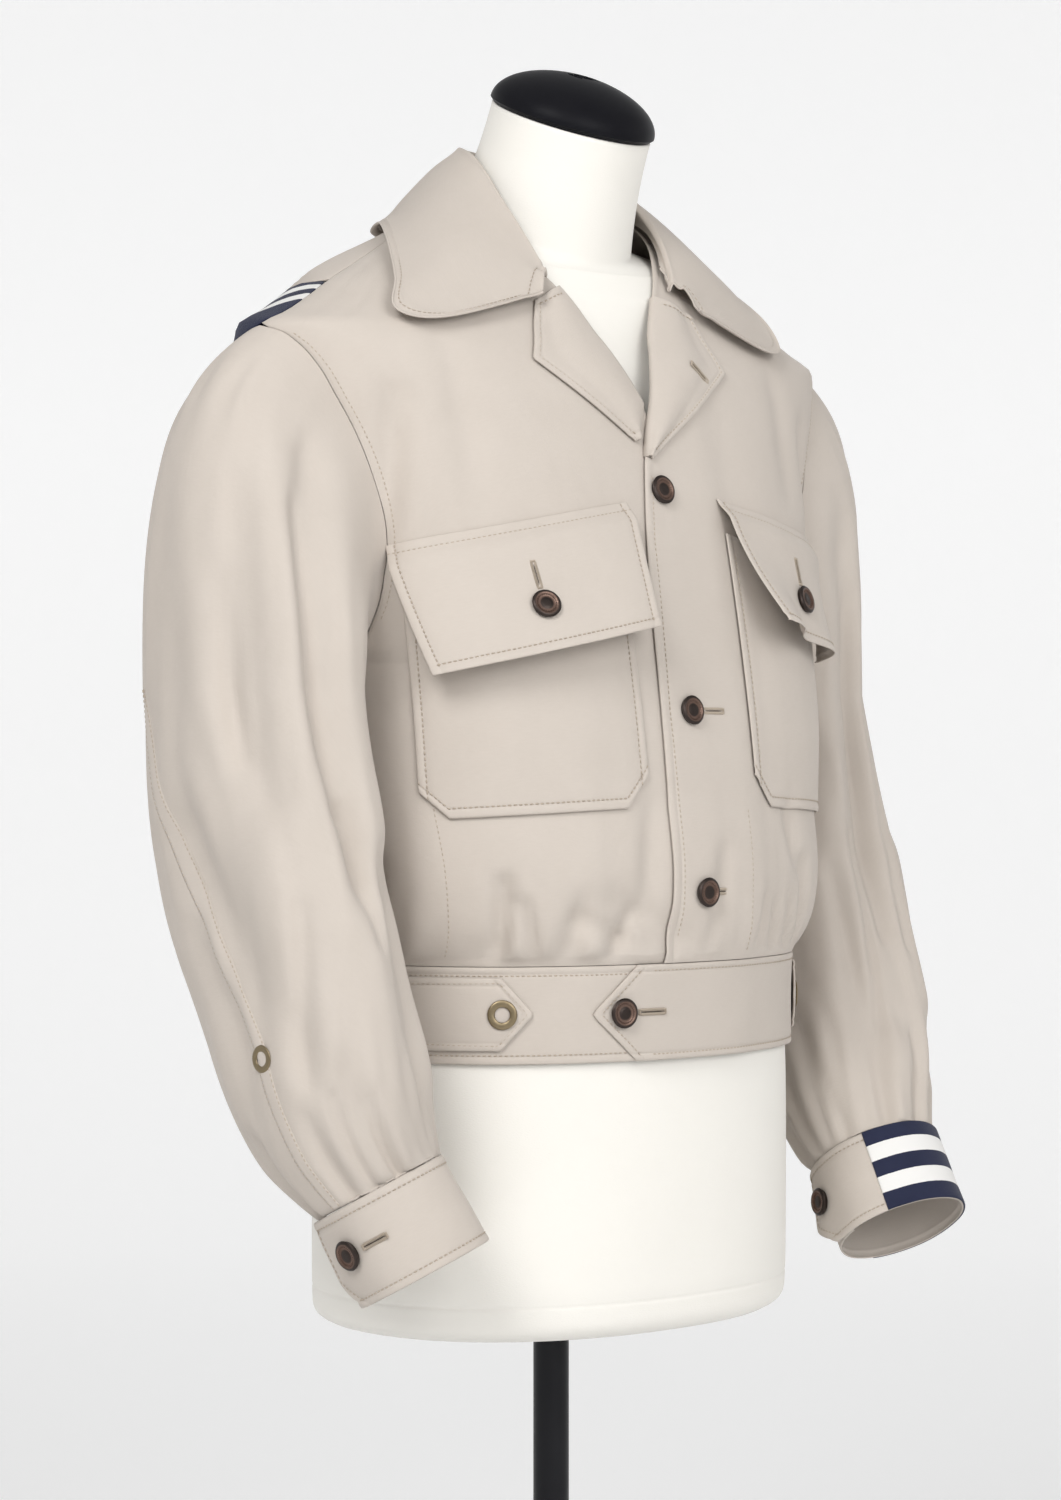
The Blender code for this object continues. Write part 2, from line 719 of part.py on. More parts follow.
def flap_point(side, u, v, lift=0.0):
    """u runs from the centre front outwards, v from the top seam down."""
    sign = SIDES[side]
    inner, outer = FLAP_INNER[side], FLAP_OUTER[side]
    drawn_in = 0.020 * v * u
    arc = inner + (outer - inner) * u - drawn_in
    top = FLAP_TOP_INNER[side] + (FLAP_TOP_OUTER[side] - FLAP_TOP_INNER[side]) * u
    z = top - FLAP_DROP * v
    wave = 0.0
    if side == "left":
        wave = 0.006 * math.sin(2 * math.pi * (u * 1.5 + 0.1)) * v * v
    settle = 1.0 - (0.70 * u if side == "left" else 0.0)
    stand = FLAP_STAND[side] * settle * v**1.6 + wave
    rise = LAYER + (FLAP_LIFT - LAYER) * ease(v, 0.0, FLAP_SEAM_SHARE)
    base = front_point(side, sign * arc, z, rise + lift)
    return base + flap_out(side) * stand


def flap_out(side):
    """The flap swings out as one piece, so all of it moves in one direction."""
    return Vector((SIDES[side] * 0.42, -0.90, 0.02)).normalized()


def add_flap(side, collection):
    def place(u, v):
        return flap_point(side, u, v)

    return sheet("flap_" + side, grid_mesh(10, 6, place), "cotton", collection, from_axis)


# Lapels, in x and z on the chest: the outer outline from the break to the notch
LAPEL_START = {"right": 1.110, "left": 1.098}
LAPEL_TOP = 1.214
LAPEL_TIP = {"right": (-0.0920, 1.1600), "left": (0.0880, 1.1620)}
LAPEL_NOTCH = {"right": (-0.0740, 1.2020), "left": (0.0720, 1.2030)}
LAPEL_TIP_AT = 0.62


def lapel_point(side, u, v, lift=0.0):
    """u runs from the roll line to the outer edge, v from the break up."""
    sign = SIDES[side]
    z_roll = LAPEL_START[side] + (LAPEL_TOP - LAPEL_START[side]) * v
    x_roll = read_column(ROLL_LINE, ROLL_COLUMNS, side + "_x", z_roll)
    if side == "right":
        left_edge = read_column(ROLL_LINE, ROLL_COLUMNS, "left_x", z_roll)
        x_roll = min(x_roll, left_edge - 0.006)
    first = (x_roll + sign * 0.004, LAPEL_START[side] - 0.002)
    if v < LAPEL_TIP_AT:
        share = v / LAPEL_TIP_AT
        start = read_column(ROLL_LINE, ROLL_COLUMNS, side + "_x", LAPEL_START[side])
        if side == "right":
            start = min(start, read_column(ROLL_LINE, ROLL_COLUMNS, "left_x", first[1]) - 0.006)
        begin = (start + sign * 0.004, first[1])
        goal = LAPEL_TIP[side]
    else:
        share = (v - LAPEL_TIP_AT) / (1 - LAPEL_TIP_AT)
        begin, goal = LAPEL_TIP[side], LAPEL_NOTCH[side]
    x_edge = begin[0] + (goal[0] - begin[0]) * share
    z_edge = begin[1] + (goal[1] - begin[1]) * share
    x, z = x_roll + (x_edge - x_roll) * u, z_roll + (z_edge - z_roll) * u
    over = overlap_lift(sign * abs(x), z) if side == "left" else 0.0
    swell = 0.0030 * math.sin(math.pi * min(u * 1.4, 1.0)) + 0.0010 * u
    angle = angle_at_x(x, z)
    return panel_point(angle, z, over + LAYER + swell + lift)


def add_lapel(side, collection):
    def place(u, v):
        return lapel_point(side, u, v)

    cloth = grid_mesh(6, 10, place)
    return sheet("lapel_" + side, cloth, "cotton", collection, from_axis)


def through(points, t):
    """A smooth curve through a few points, at t from 0 to 1."""
    spans = len(points) - 1
    index = min(int(t * spans), spans - 1)
    share = t * spans - index
    before = points[index - 1] if index else points[0] * 2 - points[1]
    after = points[index + 2] if index < spans - 1 else points[-1] * 2 - points[-2]
    here, there = points[index], points[index + 1]
    return 0.5 * (
        here * 2
        + (there - before) * share
        + (before * 2 - here * 5 + there * 4 - after) * share**2
        + (here * 3 - before - there * 3 + after) * share**3
    )


def collar_curve(which, u):
    """One of the collar's three lines, u from the right end round the back to the left."""
    column = COLLAR_COLUMNS.index(which)
    points = [Vector(row[column]) for row in COLLAR_STATIONS]
    if which == "edge":
        if u > 0.5:
            angles = [row[-1] for row in COLLAR_STATIONS]
            points = [Vector((angle, *at[1:])) for angle, at in zip(angles, points)]
        points = [panel_point(-angle, z, stand) for angle, z, stand in points]
    at = through(points, abs(2 * u - 1))
    if u > 0.5:
        at.x = -at.x
    return at


def collar_point(u, v):
    """v runs from the neck seam up to the roll line and down to the outer edge."""
    seam, roll, edge = (collar_curve(which, u) for which in COLLAR_COLUMNS[:3])
    out = edge - roll
    out.z = 0.0
    out.normalize()
    up = Vector((0.0, 0.0, 1.0))
    half_fall = (roll + edge) / 2
    points = [
        seam,
        seam.lerp(roll, 0.45) - out * 0.0005,
        roll - out * 0.0030 - up * 0.0050,
        roll - out * 0.0002,
        roll + out * 0.0042 - up * 0.0035,
        roll.lerp(half_fall, 0.55) + out * 0.0030 + up * 0.0015,
        half_fall.lerp(edge, 0.25) + out * 0.0015 + up * 0.0010,
        half_fall.lerp(edge, 0.65),
        edge,
    ]
    return through(points, v)


def add_collar(collection):
    def outside(point):
        return Vector((point.x, point.y - 0.02, 0.06))

    cloth = grid_mesh(28, 8, collar_point)
    return sheet("collar", cloth, "cotton", collection, outside)


SLEEVE_CAP_SHARE = 0.30
SLEEVE_ROUND = 0.94
SLEEVE_CUFF_FROM = 0.93
SLEEVE_CAP_REACH = {"right": 0.34, "left": 0.26}


def armhole_rim(side):
    """The panels' own points round the armhole: down the front, then up the back."""
    heights = ROW_HEIGHTS[UNDERARM_ROW : SHOULDER_ROW + 1]
    rim = []
    for column, levels in (("front_angle", heights[::-1]), ("back_angle", heights)):
        for z in levels[:-1]:
            angle = read_column(ARMHOLE, ARMHOLE_COLUMNS, column, z)
            rim.append(panel_point(SIDES[side] * angle, z))
    return rim


RIM_CACHE = {}


def armhole_point(side, turn):
    """The armhole's rim at a turn of the sleeve: 0 shoulder, 90 front, 180 underarm."""
    if side not in RIM_CACHE:
        RIM_CACHE[side] = armhole_rim(side)
    rim = RIM_CACHE[side]
    at = (turn % 360.0) / 360.0 * len(rim)
    index = int(at)
    return rim[index % len(rim)].lerp(rim[(index + 1) % len(rim)], at - index)


def sleeve_frame(side, along):
    """Centre, axis, outer and front directions, half width and depth below the armhole."""
    rows = SLEEVE_SECTIONS[side]
    keys = np.linspace(0.0, 1.0, len(rows))
    lengths = [0.0]
    for first, second in zip(rows, rows[1:]):
        lengths.append(lengths[-1] + (Vector(second[:3]) - Vector(first[:3])).length)
    keys = np.array(lengths) / lengths[-1]

    def read(name, at):
        values = np.array([row[SLEEVE_COLUMNS.index(name)] for row in rows], float)
        return smooth_read(keys, values, at)

    centre = Vector([read(name, along) for name in "xyz"])
    low, high = max(along - 0.06, 0.0), min(along + 0.06, 1.0)
    axis = Vector([read(name, high) - read(name, low) for name in "xyz"]).normalized()
    level = Vector((0.0, 0.0, -1.0))
    axis = level.lerp(axis, ease(along, 0.0, 0.5)).normalized()
    front = Vector((0.0, -1.0, 0.0))
    front = (front - axis * front.dot(axis)).normalized()
    outer = Vector((SIDES[side], 0.0, 0.0))
    outer = (outer - axis * outer.dot(axis) - front * outer.dot(front)).normalized()
    return centre, axis, outer, front, read("half_width", along), read("half_depth", along)


def ring_offset(turn, outer, front, half_width, half_depth, roundness):
    across, ahead = math.cos(math.radians(turn)), math.sin(math.radians(turn))
    wide = half_width * math.copysign(abs(across) ** roundness, across)
    deep = half_depth * math.copysign(abs(ahead) ** roundness, ahead)
    return outer * wide + front * deep


def sleeve_point(side, turn, along, lift=0.0):
    """The sleeve's outer face; along is 0 at the armhole and 1 at the cuff seam."""
    below = max((along - SLEEVE_CAP_SHARE) / (1 - SLEEVE_CAP_SHARE), 0.0)
    centre, axis, outer, front, half_width, half_depth = sleeve_frame(side, below)
    offset = ring_offset(turn, outer, front, half_width, half_depth, SLEEVE_ROUND)
    ring = centre + offset
    outward = offset.normalized()
    fold = trough(SLEEVE_FOLDS[side], turn, along, SLEEVE_FOLD_LENGTH, turns=True)
    at_cuff = ease(along, SLEEVE_CUFF_FROM, 1.0)
    ring = ring.lerp(cuff_rim(side, turn), at_cuff)
    fold *= 1.0 - at_cuff
    if along >= SLEEVE_CAP_SHARE:
        return ring + outward * (lift - fold)
    t = along / SLEEVE_CAP_SHARE
    rim = armhole_point(side, turn)
    top = (1 + math.cos(math.radians(turn))) / 2
    leave = Vector((SIDES[side] * (0.55 + 0.35 * top), 0.0, -0.55 - 0.25 * (1 - top)))
    leave += outward * 0.25 * math.sin(math.radians(turn)) ** 2
    leave.normalize()
    drop = (rim - ring).length
    rim = rim + Vector((SIDES[side] * SEAM_GAP * 2.4, 0.0, 0.0))
    first = rim + leave * drop * SLEEVE_CAP_REACH[side]
    second = ring - axis * drop * (0.36 + 0.10 * top)
    point = (
        rim * (1 - t) ** 3
        + first * 3 * t * (1 - t) ** 2
        + second * 3 * t**2 * (1 - t)
        + ring * t**3
    )
    return point + outward * (lift - fold) * ease(t, 0.0, 0.35)


def add_sleeve(side, collection):
    middle = {"right": Vector((-0.26, -0.03, 0.0)), "left": Vector((0.26, -0.02, 0.0))}

    def outside(point):
        return Vector((point.x, point.y, 0.0)) - middle[side]

    def place(u, v):
        return sleeve_point(side, 360.0 * u, v)

    cloth = grid_mesh(28, 14, place, closed=True)
    return sheet("sleeve_" + side, cloth, "cotton", collection, outside)


# Cuffs: turn where the under end starts, and where the pointed top end stops
CUFF_START = {"right": 11.0, "left": 189.0}
CUFF_OVERLAP = 46.0
CUFF_STAND = {"right": 0.004, "left": 0.012}
CUFF_CHAMFER = 26.0
CUFF_DIRECTION = {"right": -1.0, "left": 1.0}


def cuff_frame(side):
    axis = Vector(CUFF_AXIS[side]).normalized()
    front = Vector((0.0, -1.0, 0.0))
    front = (front - axis * front.dot(axis)).normalized()
    outer = Vector((SIDES[side], 0.0, 0.0))
    outer = (outer - axis * outer.dot(axis) - front * outer.dot(front)).normalized()
    return Vector(CUFF_CENTRE[side]), axis, outer, front


def cuff_rim(side, turn):
    """Where the sleeve ends, a seam's gap above the cuff's top edge."""
    centre, axis, outer, front = cuff_frame(side)
    return centre - axis * 2 * SEAM_GAP + ring_offset(turn, outer, front, *CUFF_HALF, 1.0)


def cuff_point(side, travel, down, lift=0.0):
    """travel is degrees from the under end, down is metres from the cuff's top edge."""
    centre, axis, outer, front = cuff_frame(side)
    turn = CUFF_START[side] + CUFF_DIRECTION[side] * travel
    rise = (LAYER + 0.0003) * ease(travel, 300.0, 352.0)
    flap = ease(travel, 362.0, 360.0 + CUFF_OVERLAP) ** 1.5
    rise += CUFF_STAND[side] * flap * (0.15 + 0.85 * down / CUFF_HEIGHT)
    flare = 0.0012 * down / CUFF_HEIGHT
    half_width, half_depth = CUFF_HALF
    offset = ring_offset(turn, outer, front, half_width + flare, half_depth + flare, 1.0)
    return centre + axis * down + offset + offset.normalized() * (rise + lift)


def add_cuff(side, collection):
    centre, axis, _, _ = cuff_frame(side)

    def outside(point):
        away = point - centre
        return away - axis * away.dot(axis)

    def place(u, v):
        cut = CUFF_CHAMFER * max(v - 0.66, 0.0) / 0.34
        travel = (360.0 + CUFF_OVERLAP - cut) * u
        return cuff_point(side, travel, CUFF_HEIGHT * v)

    cloth = grid_mesh(32, 3, place)
    return sheet("cuff_" + side, cloth, "cotton", collection, outside)


# The left cuff's striped facing lies on the cuff, over this stretch of travel
STRIPE_FROM = 100.0
STRIPE_TO = 321.0


def add_cuff_stripe(collection):
    centre, axis, _, _ = cuff_frame("left")

    def outside(point):
        away = point - centre
        return away - axis * away.dot(axis)

    def place(u, v):
        travel = STRIPE_FROM + (STRIPE_TO - STRIPE_FROM) * u
        return cuff_point("left", travel, CUFF_HEIGHT * v, 0.0017)

    cloth = grid_mesh(18, 3, place)
    return sheet("cuff_left_stripe", cloth, "navy", collection, outside, wall=0.0012)


FORM_RING = 28


def form_ring(z):
    """One level ring of the dress form below its shoulders."""
    row = section_row(FORM_SECTIONS, z)
    return [Vector((*on_section(row, 360.0 * i / FORM_RING), z)) for i in range(FORM_RING)]


def form_shoulder_ring(share):
    """A ring of the form's shoulders, just inside the jacket, up to the tilted neck seam."""
    points = []
    for i in range(FORM_RING):
        angle = 360.0 * i / FORM_RING
        ahead = math.cos(math.radians(angle))
        end = FORM_NECKLINE["front" if ahead > 0 else "back"]
        top = FORM_NECKLINE["side"] + (end - FORM_NECKLINE["side"]) * abs(ahead)
        z = FORM_SHOULDER_FROM + (top - FORM_SHOULDER_FROM) * share
        points.append(body_point(angle, z) - body_normal(angle, z) * FORM_INSET)
    return points


def neck_ring(share):
    """A tilted ring of the neck, from its seam to the plane under the cap."""
    y = NECK_BASE[0] + (NECK_CAP[0] - NECK_BASE[0]) * share
    z = NECK_BASE[1] + (NECK_CAP[1] - NECK_BASE[1]) * share
    radius = NECK_RADIUS + NECK_SPREAD * (1 - share) ** 2
    points = []
    for i in range(FORM_RING):
        turn = math.radians(360.0 * i / FORM_RING)
        across, ahead = radius * math.sin(turn), -radius * math.cos(turn)
        up = ahead * math.sin(NECK_TILT)
        points.append(Vector((across, y + ahead * math.cos(NECK_TILT), z + up)))
    return points


def add_form(collection):
    rings = [form_ring(row[0]) for row in FORM_SECTIONS]
    rings += [form_shoulder_ring(share) for share in rows_between(0.0, 1.0, 5)]
    rings += [neck_ring(share) for share in rows_between(0.0, 1.0, 4)]
    body = bmesh.new()
    loops = [[body.verts.new(point) for point in ring] for ring in rings]
    for low, high in zip(loops, loops[1:]):
        for i in range(FORM_RING):
            j = (i + 1) % FORM_RING
            body.faces.new((low[i], low[j], high[j], high[i]))
    body.faces.new(list(reversed(loops[0])))
    body.faces.new(loops[-1])
    bmesh.ops.recalc_face_normals(body, faces=body.faces)
    mesh = bpy.data.meshes.new("form_body")
    body.to_mesh(mesh)
    body.free()
    return put("form_body", mesh, "form", collection)


def turned(name, profile, finish, collection, steps=24):
    """A profile of radius and height, outer side first from the top down, spun round Z."""
    mesh = bpy.data.meshes.new(name)
    edges = [(i, i + 1) for i in range(len(profile) - 1)]
    mesh.from_pydata([(radius, 0.0, height) for radius, height in profile], edges, [])
    obj = put(name, mesh, finish, collection)
    spin = obj.modifiers.new("turn", "SCREW")
    spin.steps = steps
    spin.render_steps = steps
    spin.use_merge_vertices = True
    spin.merge_threshold = 0.00005
    spin.use_smooth_shade = True
    return obj


def stand_on(obj, point, normal):
    """Places a turned piece on a surface, with its own +Z along the normal."""
    turn = normal.to_track_quat("Z", "Y").to_matrix().to_4x4()
    obj.matrix_world = Matrix.Translation(point) @ turn


def dome(radius, height, count):
    """Points of a quarter ellipse from the axis down to the rim."""
    turns = [math.pi / 2 * i / count for i in range(count + 1)]
    return [(radius * math.sin(t), height * math.cos(t)) for t in turns]


def add_neck_cap(collection):
    shell = [p for p in dome(CAP_RADIUS, CAP_HEIGHT, 8) if p[0] > CAP_SOCKET_RADIUS * 1.15]
    lip = (CAP_SOCKET_RADIUS, shell[0][1] + 0.0004)
    floor = CAP_HEIGHT - CAP_SOCKET_DEPTH
    foot = [(CAP_RADIUS - CAP_FOOT, -CAP_FOOT), (0.0, -CAP_FOOT)]
    profile = [(0.0, floor), (CAP_SOCKET_RADIUS, floor), lip, *shell, *foot]
    cap = turned("neck_cap", profile, "black", collection)
    up = Vector((0.0, -math.sin(NECK_TILT), math.cos(NECK_TILT)))
    seat = Vector((0.0, *NECK_CAP)) + up * (CAP_FOOT + SEAM_GAP)
    stand_on(cap, seat, up)
    return cap


def add_stand(collection):
    pole_bottom = BASE_HEIGHT + HUB_HEIGHT - 0.010
    pole_top = FORM_BOTTOM - SEAM_GAP
    pole = bmesh.new()
    bmesh.ops.create_cone(
        pole,
        cap_ends=True,
        segments=24,
        radius1=POLE_RADIUS,
        radius2=POLE_RADIUS,
        depth=pole_top - pole_bottom,
    )
    bmesh.ops.translate(pole, verts=pole.verts, vec=(0.0, 0.0, (pole_top + pole_bottom) / 2))
    mesh = bpy.data.meshes.new("stand_pole")
    pole.to_mesh(mesh)
    pole.free()
    put("stand_pole", mesh, "black", collection)
    bore = POLE_RADIUS + SEAM_GAP
    profile = [
        (0.0, pole_bottom - SEAM_GAP),
        (bore, pole_bottom - SEAM_GAP),
        (bore, BASE_HEIGHT + HUB_HEIGHT),
        (HUB_RADIUS - 0.003, BASE_HEIGHT + HUB_HEIGHT),
        (HUB_RADIUS, BASE_HEIGHT + HUB_HEIGHT - 0.003),
        (HUB_RADIUS + 0.001, BASE_HEIGHT + 0.004),
        (HUB_RADIUS + 0.006, BASE_HEIGHT),
        (BASE_RADIUS * 0.7, BASE_HEIGHT * 0.72),
        (BASE_RADIUS - 0.006, BASE_HEIGHT * 0.50),
        (BASE_RADIUS, BASE_HEIGHT * 0.30),
        (BASE_RADIUS, 0.0),
        (0.0, 0.0),
    ]
    turned("stand_base", profile, "black", collection, steps=30)


# A button's profile as shares of its radius and thickness: dished middle, raised rim
BUTTON_PROFILE = (
    (0.0, 0.62),
    (0.42, 0.62),
    (0.54, 0.84),
    (0.86, 1.00),
    (1.00, 0.62),
    (0.88, 0.0),
    (0.0, 0.0),
)


def add_button(name, point, normal, collection):
    profile = [(r * BUTTON_RADIUS, h * BUTTON_THICK) for r, h in BUTTON_PROFILE]
    button = turned(name, profile, "horn", collection, steps=12)
    stand_on(button, point + normal * SEAM_GAP * 1.5, normal)


def add_eyelet(name, point, normal, outer, hole, collection):
    """A flat rolled ring round a hole."""
    middle, half = (outer + hole) / 2, (outer - hole) / 2
    turns = [2 * math.pi * i / EYELET_SIDES for i in range(EYELET_SIDES)]
    ring = [
        (middle + half * math.cos(-t), EYELET_THICK / 2 + EYELET_THICK / 2 * math.sin(-t))
        for t in [*turns, 0.0]
    ]
    eyelet = turned(name, ring, "brass", collection, steps=12)
    stand_on(eyelet, point + normal * SEAM_GAP, normal)


FRONT_BUTTONS = (1.0750, 0.9260, 0.8050)
BAND_BUTTON = -0.062
BAND_BUTTON_Z = 0.7265
FLAP_BUTTON = {"right": (0.50, 0.66), "left": (0.50, 0.66)}
CUFF_BUTTON = {"right": (366.0, 0.028), "left": (384.0, 0.028)}
EYELET_SIZES = {"tab": (0.0098, 0.0050), "sleeve": (0.0088, 0.0045)}
SLEEVE_EYELET = {"right": (9.0, 0.804, -0.0004), "left": (2.0, 0.800, 0.0001)}


def surface_normal(place, u, v, outside):
    """The unit normal of a surface function, turned to the outside."""
    step = 0.01
    across = place(u + step, v) - place(u - step, v)
    along = place(u, v + step) - place(u, v - step)
    normal = across.cross(along).normalized()
    return normal if normal.dot(outside) > 0 else -normal


def add_fastenings(collection):
    forward = Vector((0.0, -1.0, 0.0))
    for number, z in enumerate(FRONT_BUTTONS, 1):
        normal = body_normal(0.0, z)
        add_button(f"button_front_{number}", front_point("left", 0.0, z), normal, collection)
    seat = band_point(BAND_BUTTON, BAND_BUTTON_Z, LAYER + CLEAR)
    normal = (seat - band_point(BAND_BUTTON, BAND_BUTTON_Z)).normalized()
    add_button("button_band", seat, normal, collection)
    for side, sign in SIDES.items():
        u, v = FLAP_BUTTON[side]

        def on_flap(a, b, side=side):
            return flap_point(side, a, b)

        normal = surface_normal(on_flap, u, v, forward)
        add_button("button_flap_" + side, on_flap(u, v) + normal * 0.0003, normal, collection)
        travel, down = CUFF_BUTTON[side]

        def on_cuff(a, b, side=side):
            return cuff_point(side, a * 100.0, b)

        centre, axis, _, _ = cuff_frame(side)
        point = cuff_point(side, travel, down)
        away = point - centre - axis * (point - centre).dot(axis)
        normal = surface_normal(on_cuff, travel / 100.0, down, away)
        add_button("button_cuff_" + side, point + normal * 0.0002, normal, collection)
        outer, hole = EYELET_SIZES["tab"]
        arc = TAB_POINT[side] + sign * TAB_EYELET_IN
        point = band_point(arc, TAB_MIDDLE, LAYER + CLEAR + 0.0002)
        normal = (band_point(arc, TAB_MIDDLE, 0.02) - point).normalized()
        add_eyelet("eyelet_tab_" + side, point, normal, outer, hole, collection)
        outer, hole = EYELET_SIZES["sleeve"]
        turn, along, seat = SLEEVE_EYELET[side]

        def on_sleeve(a, b, side=side):
            return sleeve_point(side, a * 100.0, b)

        point = sleeve_point(side, turn, along)
        away = Vector((point.x, 0.0, 0.0))
        normal = surface_normal(on_sleeve, turn / 100.0, along, away)
        add_eyelet("eyelet_sleeve_" + side, point + normal * seat, normal, outer, hole, collection)


def clear_scene():
    for obj in list(bpy.data.objects):
        bpy.data.objects.remove(obj)


def main():
    clear_scene()
    collection = bpy.data.collections.new("flight_jacket_on_dress_form")
    bpy.context.scene.collection.children.link(collection)
    add_form(collection)
    add_neck_cap(collection)
    add_stand(collection)
    add_back(collection)
    add_band(collection)
    add_collar(collection)
    for side in SIDES:
        add_front(side, collection)
        add_strip(side, collection)
        add_lapel(side, collection)
        add_pocket(side, collection)
        add_flap(side, collection)
        add_tab(side, collection)
        add_sleeve(side, collection)
        add_cuff(side, collection)
    add_cuff_stripe(collection)
    add_fastenings(collection)


main()
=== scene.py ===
"""The looks of a flight jacket worn on a limbless dress form.

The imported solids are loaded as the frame. Each cloth piece is made again as a fine thin
sheet on the same sections, with its folds, hems and topstitching. Metres, +Z up; the
wearer faces -Y, so the wearer's left is +X.
"""

import math
from bisect import bisect_left
from functools import lru_cache, partial

import bmesh
import bpy
import numpy as np
from mathutils import Matrix, Vector, noise


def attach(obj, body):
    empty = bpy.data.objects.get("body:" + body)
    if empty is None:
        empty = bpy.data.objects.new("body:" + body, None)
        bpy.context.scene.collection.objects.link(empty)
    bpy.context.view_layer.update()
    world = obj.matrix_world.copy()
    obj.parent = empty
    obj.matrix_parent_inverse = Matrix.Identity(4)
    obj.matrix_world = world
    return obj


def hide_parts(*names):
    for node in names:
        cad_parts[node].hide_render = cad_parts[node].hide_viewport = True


bl_info = {
    "name": "Flight jacket on a dress form",
    "version": (1, 0, 0),
    "blender": (4, 5, 0),
    "location": "View3D > Sidebar > Jacket",
    "description": "Dresses the packed solids of a flight jacket and its dress form",
    "category": "Object",
}

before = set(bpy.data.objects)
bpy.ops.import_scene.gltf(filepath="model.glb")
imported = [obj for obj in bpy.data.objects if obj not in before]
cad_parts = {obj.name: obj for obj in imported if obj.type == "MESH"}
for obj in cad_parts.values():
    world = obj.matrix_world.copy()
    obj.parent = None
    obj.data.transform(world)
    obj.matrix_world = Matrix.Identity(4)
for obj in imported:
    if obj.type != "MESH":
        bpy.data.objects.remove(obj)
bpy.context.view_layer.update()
BODY = "root"

# Sewing: how close grid lines lie at a hem, and how the hem is rounded and stitched
HEM_LINES = (0.0, 0.0004, 0.0010, 0.0020, 0.0036, 0.0052, 0.0062, 0.0070, 0.0078, 0.0092)
HEM_ROUND = 0.0018
HEM_DROP = 0.0011
HEM_INSET = 0.0068
LAPEL_INSET = 0.0055
COLLAR_INSET = 0.0055
BAND_INSET = 0.0060
CUFF_INSET = 0.0060
TAB_INSET = 0.0045
TAB_END_INSET = 0.0300
STRIP_INSET = 0.0045
STITCH_DEPTH = 0.00045
STITCH_PROBE = 0.002
STITCH_SINK = 0.00012
TWILL_PITCH = 0.0011
STRIPE_PITCH = 0.0138
CUFF_STRIPE_PITCH = 0.0124
LAPEL_ROLL = 0.0022
LAPEL_ROLL_SHARE = 0.10
PANEL_LOW = 0.7583
BUTTON_STUDS = 26
FORM_TURNS = 120

# The sleeve's felled seam: share of the sleeve's length, and turn there in degrees
SLEEVE_SEAM = (
    (0.28, -36.0),
    (0.35, -30.0),
    (0.50, -18.0),
    (0.62, -8.0),
    (0.72, 0.0),
    (0.80, 9.0),
    (0.90, 12.0),
    (1.00, 14.0),
)
SEAM_FROM = 0.30
SEAM_TO = 0.985
SEAM_TURN = 8.0

# Creases finer than the sections' own, as distance round, height, depth and half width
FINE_FOLDS = (
    (-0.128, 0.764, -0.140, 0.800, 0.0035, 0.0045),
    (-0.072, 0.764, -0.060, 0.792, 0.0030, 0.0050),
    (-0.045, 0.768, -0.100, 0.790, 0.0028, 0.0070),
    (0.108, 0.764, 0.104, 0.800, 0.0032, 0.0050),
    (0.060, 0.764, 0.070, 0.800, 0.0026, 0.0060),
    (0.020, 0.830, 0.008, 0.770, 0.0026, 0.0080),
    (0.100, 0.860, 0.112, 0.820, 0.0026, 0.0070),
    (-0.155, 1.165, -0.148, 1.085, 0.0015, 0.0120),
    (0.150, 1.165, 0.156, 1.085, 0.0015, 0.0120),
    (0.290, 0.764, 0.296, 0.812, 0.0035, 0.0060),
    (-0.290, 0.764, -0.284, 0.805, 0.0035, 0.0060),
    (0.370, 0.764, 0.362, 0.808, 0.0035, 0.0060),
    (-0.375, 0.764, -0.380, 0.812, 0.0035, 0.0060),
    (0.460, 0.764, 0.470, 0.806, 0.0032, 0.0060),
    (-0.460, 0.764, -0.452, 0.806, 0.0032, 0.0060),
    (0.260, 1.110, 0.330, 1.060, 0.0035, 0.0120),
    (-0.260, 1.110, -0.330, 1.060, 0.0035, 0.0120),
    (0.300, 0.930, 0.390, 0.900, 0.0030, 0.0120),
    (-0.300, 0.940, -0.400, 0.915, 0.0030, 0.0120),
)
FINE_SLEEVE_FOLDS = {
    "right": (
        (70, 0.16, 84, 0.50, 0.0040, 6),
        (88, 0.50, 97, 0.70, 0.0035, 6),
        (22, 0.24, 30, 0.40, 0.0035, 7),
        (340, 0.62, 358, 0.80, 0.0030, 7),
        (48, 0.66, 34, 0.84, 0.0035, 7),
        (48, 0.88, 52, 0.99, 0.0040, 5),
        (72, 0.90, 76, 0.99, 0.0035, 5),
        (340, 0.90, 338, 0.99, 0.0035, 6),
        (200, 0.88, 196, 0.99, 0.0035, 6),
        (250, 0.30, 262, 0.54, 0.0035, 7),
        (290, 0.52, 278, 0.74, 0.0035, 7),
    ),
    "left": (
        (80, 0.22, 90, 0.70, 0.0045, 7),
        (60, 0.44, 70, 0.72, 0.0030, 6),
        (104, 0.52, 112, 0.86, 0.0035, 6),
        (30, 0.28, 38, 0.52, 0.0030, 7),
        (42, 0.86, 46, 0.99, 0.0040, 5),
        (84, 0.88, 90, 0.99, 0.0035, 5),
        (338, 0.88, 334, 0.99, 0.0035, 6),
        (250, 0.30, 262, 0.54, 0.0035, 7),
        (290, 0.52, 278, 0.74, 0.0035, 7),
    ),
}

